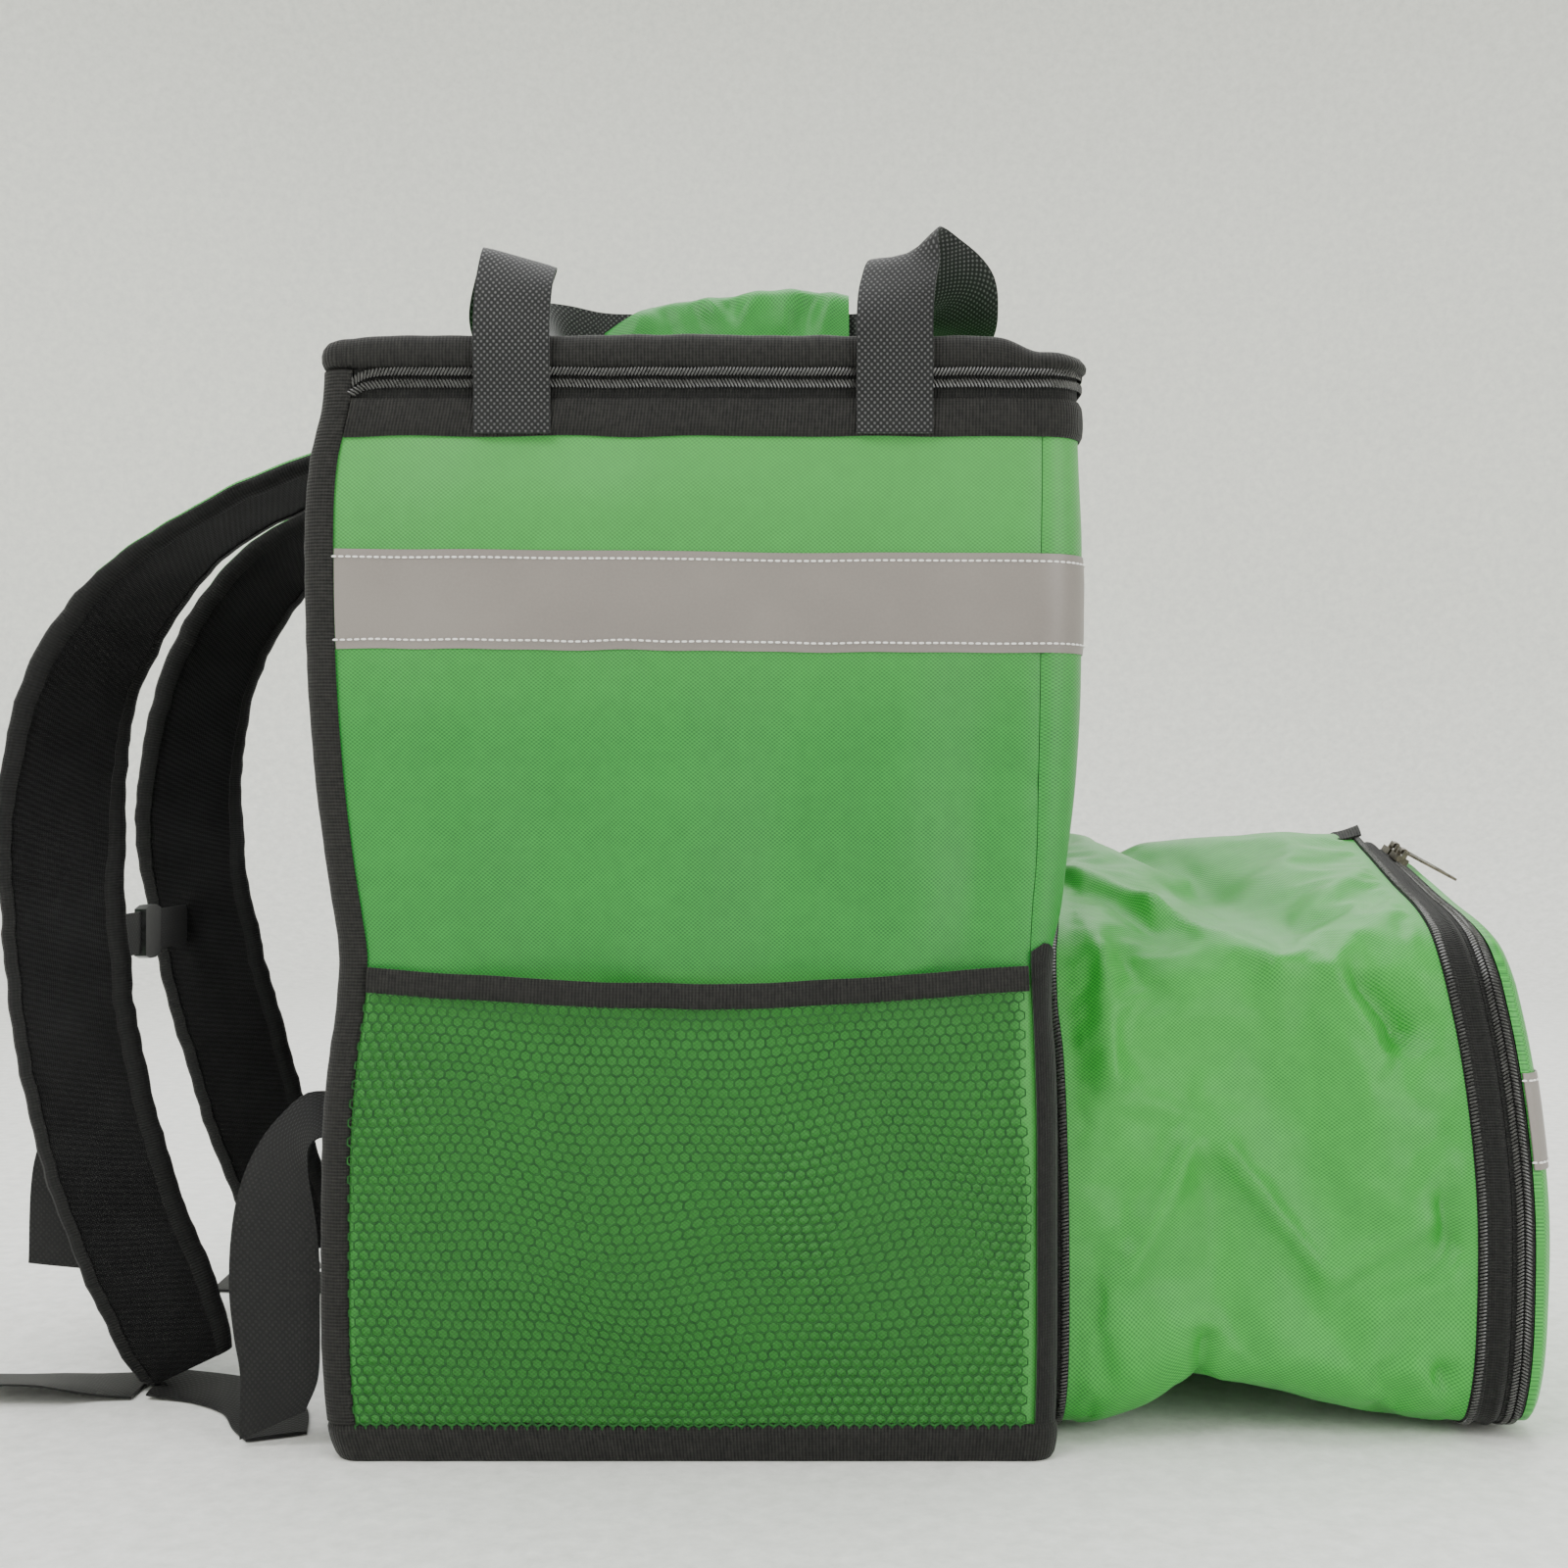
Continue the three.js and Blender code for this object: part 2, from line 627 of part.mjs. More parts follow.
// Compartment outline as a closed loop: up the near half, down the far half
const nearHalf = compartmentTable.map((row) => ({ y: -row.across, z: row.height }));
const farHalf = compartmentTable.slice(1, -1).map((row) => ({ y: row.across, z: row.height }));
const outline = [...nearHalf, ...farHalf.reverse()];
const outlineNormals = outline.map((p, i) => {
  const before = outline[(i + outline.length - 1) % outline.length];
  const after = outline[(i + 1) % outline.length];
  const length = Math.hypot(after.y - before.y, after.z - before.z);
  return { y: -(after.z - before.z) / length, z: (after.y - before.y) / length };
});
const topShare = (z) => Math.min(1, Math.max(0, (z - 235) / 70));
const leanAt = (z) => read(leanTable, 'height', z, 'lean');

// A point of the outer ring, at a distance along the bag and a distance outwards
function ringPoint(i, along, off) {
  const p = outline[i];
  const n = outlineNormals[i];
  const drop = read(dropTable, 'along', along, 'drop') * topShare(p.z);
  return new THREE.Vector3(along + leanAt(p.z), p.y + n.y * off, p.z + n.z * off - drop);
}
const everyPoint = outline.map((p, i) => i);
function ringBand(rows) {
  return slab(
    rows.map((row) => everyPoint.map((i) => ringPoint(i, row.along, row.out))),
    rows.map((row) => everyPoint.map((i) => ringPoint(i, row.along, row.inside))),
    true,
  );
}

// Zipper half on the body, following the body's front, and its tapes round the front corners
const frontAt = (z) => read(bodyTable, 'height', z, 'front');
function bodyRing(from, off) {
  return everyPoint.map((i) => {
    const p = ringPoint(i, 0, off);
    p.x = frontAt(p.z) + from;
    return p;
  });
}
const bodyZip = slab(
  [bodyRing(2 * skin, 0), bodyRing(5.5, 1.2), bodyRing(skin + bodyZipWidth, 1.2)],
  [bodyRing(2 * skin, -3), bodyRing(5.5, -3), bodyRing(skin + bodyZipWidth, -3)],
  true,
);
addPiece('body_zipper_half', bodyZip, zipperCoil);
const frontEdgePlace = (z, off) => new THREE.Vector3(frontAt(z) + off, -196.5, z);
const cornerTape = shell([...nearFrontCorner, frontEdgePlace], levels(netFoot, 250), skin + 1.2, skin);
addPiece('near_zipper_tape', cornerTape, blackFabric);
addPiece('far_zipper_tape', mirrored(cornerTape), blackFabric);

// Gusset with its folds
function gussetRow(share, off) {
  const fold = (column) => read(gussetFolds, 'share', share, column);
  return everyPoint.map((i) => {
    const p = outline[i];
    const n = outlineNormals[i];
    const start = frontAt(p.z) + skin + bodyZipWidth + skin;
    const end = gussetEnd + leanAt(p.z);
    const lift = fold('lift') * Math.max(0, 1 - p.z / 85);
    const side = fold('side') * Math.sin(Math.PI * Math.min(1, p.z / 260)) * Math.sign(p.y);
    const shoulder = fold('shoulder') * topShare(p.z + 30) * Math.exp(-(((Math.abs(p.y) - 140) / 45) ** 2));
    const roof = fold('roof') * topShare(p.z) * Math.exp(-((p.y / 90) ** 2));
    return new THREE.Vector3(
      start + share * (end - start),
      p.y + n.y * off - side * (Math.abs(p.y) > 170 ? 1 : 0.4),
      p.z + n.z * off + lift - shoulder - roof,
    );
  });
}
const gussetShares = gussetFolds.map((row) => row.share);
const gusset = slab(
  gussetShares.map((share) => gussetRow(share, 0)),
  gussetShares.map((share) => gussetRow(share, -gussetThick)),
  true,
);
addPiece('compartment_gusset', gusset, greenFabric);

// Outer ring: zipper half, plain band and closed pocket zipper
addPiece('outer_zipper_half', ringBand([
  { along: gussetEnd + skin, out: 1.2, inside: -bandThick },
  { along: outerZipEnd - 2, out: 1.2, inside: -bandThick },
  { along: outerZipEnd, out: 0.2, inside: -bandThick },
]), zipperCoil);
addPiece('outer_band', ringBand([
  { along: outerZipEnd + skin, out: 0, inside: -bandThick },
  { along: outerBandEnd, out: 0, inside: -bandThick },
]), blackFabric);
addPiece('pocket_zipper', ringBand([
  { along: outerBandEnd + skin, out: 0.4, inside: -bandThick },
  { along: (outerBandEnd + pocketZipEnd) / 2, out: 1.8, inside: -bandThick },
  { along: pocketZipEnd, out: 0.4, inside: -bandThick },
]), zipperCoil);

// Front pocket panel, a shallow dome
const pocketBase = pocketZipEnd + skin;
function pocketRing(share, out) {
  return everyPoint.map((i) => {
    const p = ringPoint(i, pocketBase, 0);
    const y = p.y * share;
    const z = pocketCentre + (p.z - pocketCentre) * share;
    return new THREE.Vector3(pocketBase + leanAt(z) + out, y, z);
  });
}
const pocketPanel = loft([
  ...[...pocketRings].reverse().map((row) => pocketRing(row.share, row.out)),
  ...pocketRings.map((row) => pocketRing(row.share, row.out + pocketThick)),
]);
const pocketMesh = addPiece('front_pocket_panel', pocketPanel, greenFabric);

// Reflective strip across the front pocket and over its edges
const ray = new THREE.Raycaster();
pocketMesh.updateMatrixWorld();
function pocketFace(y, z) {
  ray.set(new THREE.Vector3(600, y, z), new THREE.Vector3(-1, 0, 0));
  return ray.intersectObject(pocketMesh)[0].point.x;
}
function stripRow(z, off) {
  const edge = read(compartmentTable.slice(4, 10), 'height', z, 'across');
  const lean = leanAt(z);
  const half = [
    new THREE.Vector3(pocketBase + lean + 0.4, -edge - off, z),
    new THREE.Vector3(pocketBase + lean + pocketThick + off * 0.6, -edge - off, z),
    ...[0.98, 0.9, 0.75, 0.6, 0.3].map((share) => (
      new THREE.Vector3(pocketFace(-edge * share, z) + off, -edge * share, z))),
  ];
  const middle = new THREE.Vector3(pocketFace(0.01, z) + off, 0, z);
  const other = [...half].reverse().map((p) => new THREE.Vector3(p.x, -p.y, p.z));
  return [...half, middle, ...other];
}
const stripHeights = [pocketTapeBottom, 156, 172, pocketTapeTop];
addPiece('pocket_strip', slab(
  stripHeights.map((z) => stripRow(z, 0.9 + tapeThick)),
  stripHeights.map((z) => stripRow(z, 0.9)),
), reflective);

// Raised end of the zipper tape at the top of the ring
const flapRows = [-15, -8, 0, 8, 15];
function flapPoint(x, y, off) {
  const slope = (compartmentTable.at(-1).height - compartmentTable.at(-2).height) / compartmentTable.at(-2).across;
  return new THREE.Vector3(x, y, compartmentTable.at(-1).height - slope * Math.abs(y) + off);
}
addPiece('tape_end_flap', slab(
  flapRows.map((y) => [flapPoint(381, y, 1.6), flapPoint(388, y, 3), flapPoint(395, y, 4.4)]),
  flapRows.map((y) => [flapPoint(381, y, 0.4), flapPoint(388, y, 1.6), flapPoint(395, y, 1.8)]),
), blackFabric);

// Ribbon through stations, each with its middle, the direction of its width, its width and
// its thickness at each column.
function ribbon(stations, columns, profile) {
  const outer = [];
  const inner = [];
  stations.forEach((station, i) => {
    const before = stations[Math.max(0, i - 1)].centre;
    const after = stations[Math.min(stations.length - 1, i + 1)].centre;
    const tangent = new THREE.Vector3().subVectors(after, before).normalize();
    const wide = station.wide.clone().addScaledVector(tangent, -station.wide.dot(tangent)).normalize();
    const normal = new THREE.Vector3().crossVectors(tangent, wide).normalize();
    const place = (column, side) => station.centre.clone()
      .addScaledVector(wide, columns[column] * station.width)
      .addScaledVector(normal, (side * profile[column] * station.thick) / 2);
    outer.push(columns.map((c, k) => place(k, 1)));
    inner.push(columns.map((c, k) => place(k, -1)));
  });
  return slab(outer, inner);
}
const flatColumns = [-0.5, 0.5];
const flatProfile = [1, 1];
const padColumns = [-0.5, -0.42, 0, 0.42, 0.5];
const padProfile = [0.55, 1, 1, 1, 0.55];

// Padded shoulder straps
function strapGeometry(table, across) {
  const places = table.map((row) => new THREE.Vector3(row.x, across, row.height));
  const stations = table.map((row, i) => {
    const before = places[Math.max(0, i - 1)];
    const after = places[Math.min(table.length - 1, i + 1)];
    const tangent = new THREE.Vector3().subVectors(after, before).normalize();
    const side = new THREE.Vector3(-tangent.z, 0, tangent.x);
    const angle = THREE.MathUtils.degToRad(row.turned);
    const wide = new THREE.Vector3(0, -Math.cos(angle), 0).addScaledVector(side, -Math.sin(angle));
    return { centre: places[i], wide: wide, width: row.width, thick: strapThick };
  });
  return ribbon(stations, padColumns, padProfile);
}
addPiece('near_shoulder_strap', strapGeometry(nearStrapTable, -strapAcross), blackMesh);
addPiece('far_shoulder_strap', strapGeometry(farStrapTable, strapAcross), blackMesh);

// Webbing handles
function legGeometry() {
  const table = [...leftLegTable, ...rightLegTable];
  return ribbon(table.map((row) => ({
    centre: new THREE.Vector3(row.x, row.y, row.height),
    wide: new THREE.Vector3(...row.wide),
    width: handleWidth,
    thick: webbingThick,
  })), flatColumns, flatProfile);
}
const handle = legGeometry();
addPiece('near_handle', handle, webbing);
addPiece('far_handle', mirrored(handle), webbing);

// Grip wrap: a flattened sleeve round the middles of both handles
const wrapAngles = [0, 30, 60, 90, 120, 150, 180, 210, 240, 270, 300, 330];
function wrapLoop(row, off) {
  const x = wrapStart + row.share * (wrapEnd - wrapStart);
  const middle = (row.top + row.bottom) / 2;
  const tall = (row.top - row.bottom) / 2 + off;
  return wrapAngles.map((degrees) => {
    const angle = THREE.MathUtils.degToRad(degrees);
    const across = Math.sign(Math.cos(angle)) * Math.abs(Math.cos(angle)) ** 0.6;
    const up = Math.sign(Math.sin(angle)) * Math.abs(Math.sin(angle)) ** 0.85;
    return new THREE.Vector3(x, (row.out + off) * across, middle + tall * up);
  });
}
addPiece('grip_wrap', slab(
  wrapTable.map((row) => wrapLoop(row, 0)),
  wrapTable.map((row) => wrapLoop(row, -wrapThick)),
  true,
), greenFabric);

// Flat webbing between two edges
function edgeStrip(left, right, thick) {
  const outer = [];
  const inner = [];
  left.forEach((a, i) => {
    const before = Math.max(0, i - 1);
    const after = Math.min(left.length - 1, i + 1);
    const tangent = new THREE.Vector3().addVectors(left[after], right[after]).sub(left[before]).sub(right[before]);
    const normal = new THREE.Vector3().crossVectors(tangent, new THREE.Vector3().subVectors(right[i], a)).normalize();
    const move = (p, side) => p.clone().addScaledVector(normal, (side * thick) / 2);
    const middle = new THREE.Vector3().addVectors(a, right[i]).multiplyScalar(0.5);
    outer.push([move(a, 1), move(middle, 1), move(right[i], 1)]);
    inner.push([move(a, -1), move(middle, -1), move(right[i], -1)]);
  });
  return slab(outer, inner);
}
const at3 = (values) => new THREE.Vector3(...values);
const lowerWebbing = edgeStrip(
  lowerTable.map((row) => at3(row.outer)), lowerTable.map((row) => at3(row.inner)), webbingThick);
addPiece('near_lower_webbing', lowerWebbing, webbing);
addPiece('far_lower_webbing', mirrored(lowerWebbing), webbing);
const floorWebbing = (table, name) => addPiece(name, edgeStrip(
  table.map((row, i) => at3([...row.near, i < table.length - 1 ? floorRest : lockEntry])),
  table.map((row, i) => at3([...row.far, i < table.length - 1 ? floorRest : lockEntry])), webbingThick), webbing);
floorWebbing(nearFloorTable, 'near_floor_webbing');
floorWebbing(farFloorTable, 'far_floor_webbing');
const tailWebbing = (table, name) => addPiece(name, edgeStrip(
  table.map((row) => at3(row.near)), table.map((row) => at3(row.far)), webbingThick), webbing);
tailWebbing(nearTailTable, 'near_webbing_tail');
tailWebbing(farTailTable, 'far_webbing_tail');

// Flap of webbing behind the near strap
addPiece('strap_flap', edgeStrip(
  flapTable.map((row) => at3([row.left[0], -strapAcross + strapThick / 2 + 1.3, row.left[1]])),
  flapTable.map((row) => at3([row.right[0], -strapAcross + strapThick / 2 + 1.3, row.right[1]])),
  webbingThick), webbing);

// Sternum strap with a plain buckle in its middle
const sternumNear = new THREE.Vector3(-331, -strapAcross + strapThick / 2 + 0.5, 250);
const sternumFar = new THREE.Vector3(-341, strapAcross - strapThick / 2 - 0.5, 246);
const buckleHalf = 17;
const sternumAlong = (share) => new THREE.Vector3().lerpVectors(sternumNear, sternumFar, share);
const sternumLength = sternumNear.distanceTo(sternumFar);
const buckleShare = (buckleHalf + seamGap) / sternumLength;
function sternumPiece(from, to) {
  return ribbon([from, to].map((share) => ({
    centre: sternumAlong(share), wide: new THREE.Vector3(0, 0, 1), width: 25, thick: 1.8,
  })), flatColumns, flatProfile);
}
addPiece('near_sternum_strap', sternumPiece(0, 0.5 - buckleShare), webbing);
addPiece('far_sternum_strap', sternumPiece(0.5 + buckleShare, 1), webbing);
const buckleShape = new THREE.Shape();
buckleShape.moveTo(-buckleHalf, -14);
buckleShape.lineTo(-6, -16);
buckleShape.lineTo(6, -16);
buckleShape.lineTo(buckleHalf, -14);
buckleShape.lineTo(buckleHalf, 14);
buckleShape.lineTo(6, 16);
buckleShape.lineTo(-6, 16);
buckleShape.lineTo(-buckleHalf, 14);
buckleShape.closePath();
const buckleGeometry = new THREE.ExtrudeGeometry(buckleShape, { depth: 7, bevelEnabled: false });
buckleGeometry.translate(0, 0, -3.5);
const buckle = addPiece('sternum_buckle', buckleGeometry, blackPlastic);
const buckleAlong = new THREE.Vector3().subVectors(sternumFar, sternumNear).normalize();
const buckleUp = new THREE.Vector3(0, 0, 1).addScaledVector(buckleAlong, -buckleAlong.z).normalize();
const buckleOut = new THREE.Vector3().crossVectors(buckleAlong, buckleUp);
buckle.quaternion.setFromRotationMatrix(new THREE.Matrix4().makeBasis(buckleAlong, buckleUp, buckleOut));
buckle.position.copy(sternumAlong(0.5));

// Joins and cuts
const wasm = await Module();
wasm.setup();
function toManifold(geometry) {
  const bare = geometry.clone();
  bare.deleteAttribute('normal');
  bare.deleteAttribute('uv');
  const merged = mergeVertices(bare, 1e-4);
  return new wasm.Manifold(new wasm.Mesh({
    numProp: 3,
    vertProperties: new Float32Array(merged.getAttribute('position').array),
    triVerts: new Uint32Array(merged.getIndex().array),
  }));
}
function fromManifold(solid) {
  const mesh = solid.getMesh();
  const geometry = new THREE.BufferGeometry();
  geometry.setAttribute('position', new THREE.Float32BufferAttribute(mesh.vertProperties, 3));
  geometry.setIndex([...mesh.triVerts]);
  geometry.computeVertexNormals();
  return geometry;
}
function box(sizeX, sizeY, sizeZ, x, y, z) {
  return toManifold(new THREE.BoxGeometry(sizeX, sizeY, sizeZ).translate(x, y, z));
}

// Ladder locks: a plate with a raised bar at each end and one in its middle, across the webbing
const lockShape = new THREE.Shape();
const lockHalf = lockLong / 2;
const barWide = 7;
const plateHalf = lockThick / 2 - 2;
lockShape.moveTo(-lockHalf, -lockThick / 2 + 1);
lockShape.lineTo(-lockHalf + 1, -lockThick / 2);
lockShape.lineTo(lockHalf - 1, -lockThick / 2);
lockShape.lineTo(lockHalf, -lockThick / 2 + 1);
lockShape.lineTo(lockHalf, lockThick / 2);
lockShape.lineTo(lockHalf - barWide, lockThick / 2);
lockShape.lineTo(lockHalf - barWide - 1, plateHalf);
lockShape.lineTo(barWide / 2 + 1, plateHalf);
lockShape.lineTo(barWide / 2, lockThick / 2);
lockShape.lineTo(-barWide / 2, lockThick / 2);
lockShape.lineTo(-barWide / 2 - 1, plateHalf);
lockShape.lineTo(-lockHalf + barWide + 1, plateHalf);
lockShape.lineTo(-lockHalf + barWide, lockThick / 2);
lockShape.lineTo(-lockHalf, lockThick / 2);
const lockGeometry = new THREE.ExtrudeGeometry(lockShape, { depth: lockWide, bevelEnabled: false });
lockGeometry.translate(0, 0, -lockWide / 2);
lockGeometry.rotateX(Math.PI / 2);
for (const [name, x, y] of lockPlaces) {
  const lock = addPiece(name, lockGeometry, blackPlastic);
  lock.position.set(x, y, lockHeight);
  lock.rotation.set(0, THREE.MathUtils.degToRad(lockTilt), 0);
}

// Slider: a block, two posts and a round bar. Its own Y runs along the zipper, Z points out.
const barAt = sliderTall + barHeight;
const postLong = 2;
const bar = toManifold(new THREE.CylinderGeometry(barRadius, barRadius, sliderLong - postLong, 12).translate(0, 0, barAt));
const postTall = barHeight + barRadius + 0.8;
const slider = box(sliderWide, sliderLong, sliderTall, 0, 0, sliderTall / 2)
  .add(box(2.6, postLong, postTall, 0, (sliderLong - postLong) / 2, sliderTall + postTall / 2 - 0.4))
  .add(box(2.6, postLong, postTall, 0, -(sliderLong - postLong) / 2, sliderTall + postTall / 2 - 0.4))
  .add(bar);
const sliderGeometry = fromManifold(slider);

// Pull: an eye round the bar and a plate with a long hole near its end
const plateShape = new THREE.Shape();
plateShape.moveTo(0, -eyeWide / 2);
plateShape.lineTo(6, -eyeWide / 2);
plateShape.lineTo(12, -pullWide / 2);
plateShape.absarc(pullLong - pullWide / 2, 0, pullWide / 2, -Math.PI / 2, Math.PI / 2, false);
plateShape.lineTo(12, pullWide / 2);
plateShape.lineTo(6, eyeWide / 2);
plateShape.lineTo(0, eyeWide / 2);
plateShape.closePath();
const plateHole = new THREE.Path();
const holeRadius = pullWide / 2 - 1.8;
plateHole.absarc(pullLong - pullWide / 2, 0, holeRadius, Math.PI / 2, -Math.PI / 2, true);
plateHole.absarc(pullLong - 14, 0, holeRadius, -Math.PI / 2, Math.PI / 2, true);
plateHole.closePath();
plateShape.holes.push(plateHole);
const plateGeometry = new THREE.ExtrudeGeometry(plateShape, { depth: pullThick, bevelEnabled: false, curveSegments: 5 });
plateGeometry.translate(0, 0, -pullThick / 2);
const pull = toManifold(plateGeometry)
  .add(toManifold(new THREE.CylinderGeometry(eyeRadius, eyeRadius, eyeWide, 14)))
  .subtract(toManifold(new THREE.CylinderGeometry(eyeHole, eyeHole, eyeWide + 2, 14)));
const pullGeometry = fromManifold(pull);

// Sliders stand on the pocket zipper at the top of the ring, on its near slope
const zipMiddle = (outerBandEnd + pocketZipEnd) / 2;
const apex = nearHalf.length - 1;
sliderAcross.forEach((across, k) => {
  const share = (across - nearHalf[apex - 1].y) / (nearHalf[apex].y - nearHalf[apex - 1].y);
  const onZip = (along, s) => (
    new THREE.Vector3().lerpVectors(ringPoint(apex - 1, along, 1.8), ringPoint(apex, along, 1.8), s));
  const zipWay = new THREE.Vector3().subVectors(onZip(zipMiddle, 1), onZip(zipMiddle, 0)).normalize();
  const forward = new THREE.Vector3().subVectors(onZip(zipMiddle + 2, share), onZip(zipMiddle - 2, share));
  const outwards = new THREE.Vector3().crossVectors(forward, zipWay).normalize();
  forward.crossVectors(zipWay, outwards).normalize();
  const seat = new THREE.Group();
  seat.quaternion.setFromRotationMatrix(new THREE.Matrix4().makeBasis(forward, zipWay, outwards));
  seat.position.copy(onZip(zipMiddle, share)).addScaledVector(outwards, seamGap);
  group.add(seat);
  addPiece(`zip_slider_${k + 1}`, sliderGeometry, darkMetal, seat);
  const held = addPiece(`zip_pull_${k + 1}`, pullGeometry, darkMetal, seat);
  held.position.set(0, 0, barAt);
});

export default group;
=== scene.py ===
import math

import bmesh
import bpy
import numpy as np
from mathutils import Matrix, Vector


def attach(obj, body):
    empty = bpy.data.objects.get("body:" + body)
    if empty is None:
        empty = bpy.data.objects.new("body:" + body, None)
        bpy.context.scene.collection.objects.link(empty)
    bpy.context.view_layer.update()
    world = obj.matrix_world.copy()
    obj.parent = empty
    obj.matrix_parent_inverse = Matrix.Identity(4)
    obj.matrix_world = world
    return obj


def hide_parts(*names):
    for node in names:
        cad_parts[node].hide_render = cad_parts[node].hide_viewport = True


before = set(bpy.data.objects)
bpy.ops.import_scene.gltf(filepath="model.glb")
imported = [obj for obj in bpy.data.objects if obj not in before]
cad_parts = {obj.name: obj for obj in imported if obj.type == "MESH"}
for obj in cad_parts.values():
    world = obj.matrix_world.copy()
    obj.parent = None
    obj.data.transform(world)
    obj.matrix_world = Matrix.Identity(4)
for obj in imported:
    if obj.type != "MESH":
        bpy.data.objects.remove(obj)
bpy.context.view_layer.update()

MM = 0.001

# All tables and shapes are in millimetres, in the frame of the CAD part. Meshes are made in metres.
# "Near" pieces lie at negative Y and "far" pieces at positive Y.


# ---------------------------------------------------------------- curves
def smooth(keys, values, limit=True):
    """A smooth curve through rows of values, read at any key."""
    k = np.asarray(keys, float)
    v = np.asarray(values, float)
    flat = v.ndim == 1
    if flat:
        v = v[:, None]
    d = np.diff(v, axis=0) / np.diff(k)[:, None]
    m = np.zeros_like(v)
    m[0], m[-1] = d[0], d[-1]
    m[1:-1] = (d[1:] + d[:-1]) / 2
    if limit:
        m[1:-1] = np.where(d[1:] * d[:-1] <= 0, 0, m[1:-1])
        most = 3 * np.minimum(np.abs(d[1:]), np.abs(d[:-1]))
        m[1:-1] = np.clip(m[1:-1], -most, most)

    def at(x):
        x = np.clip(np.asarray(x, float), k[0], k[-1])
        i = np.clip(np.searchsorted(k, x, side="right") - 1, 0, len(k) - 2)
        h = k[i + 1] - k[i]
        t = ((x - k[i]) / h)[..., None]
        h = h[..., None]
        out = ((2 * t**3 - 3 * t**2 + 1) * v[i] + (t**3 - 2 * t**2 + t) * h * m[i]
               + (-2 * t**3 + 3 * t**2) * v[i + 1] + (t**3 - t**2) * h * m[i + 1])
        return out[..., 0] if flat else out

    return at


def step(a, b, x):
    """0 below a, 1 above b, smooth between them."""
    t = np.clip((np.asarray(x, float) - a) / (b - a), 0, 1)
    return t * t * (3 - 2 * t)


def lengths(points, closed=False):
    p = np.asarray(points, float)
    if closed:
        p = np.vstack([p, p[:1]])
    return np.concatenate([[0], np.cumsum(np.linalg.norm(np.diff(p, axis=0), axis=1))])


def resample(points, count, closed=False, extra=()):
    """The points of a line at equal distances, with other rows of values carried along."""
    p = np.asarray(points, float)
    s = lengths(p, closed)
    at = np.linspace(0, s[-1], count, endpoint=not closed)
    out = []
    for values in (p, *extra):
        values = np.asarray(values, float)
        if closed:
            values = np.vstack([values, values[:1]])
        out.append(np.stack([np.interp(at, s, values[:, j]) for j in range(values.shape[1])], 1))
    return out if extra else out[0]


def unit(v):
    return v / np.maximum(np.linalg.norm(v, axis=-1, keepdims=True), 1e-9)


def ripple(x, y, seed, scale):
    """Gentle unevenness between about -1 and 1, the same every run."""
    rng = np.random.default_rng(seed)
    out = 0
    for _ in range(6):
        a = rng.uniform(0, 2 * math.pi)
        f = rng.uniform(0.6, 1.7) / scale
        out = out + np.sin(2 * math.pi * f * (x * math.cos(a) + y * math.sin(a)) + rng.uniform(0, 6.28))
    return out / 6


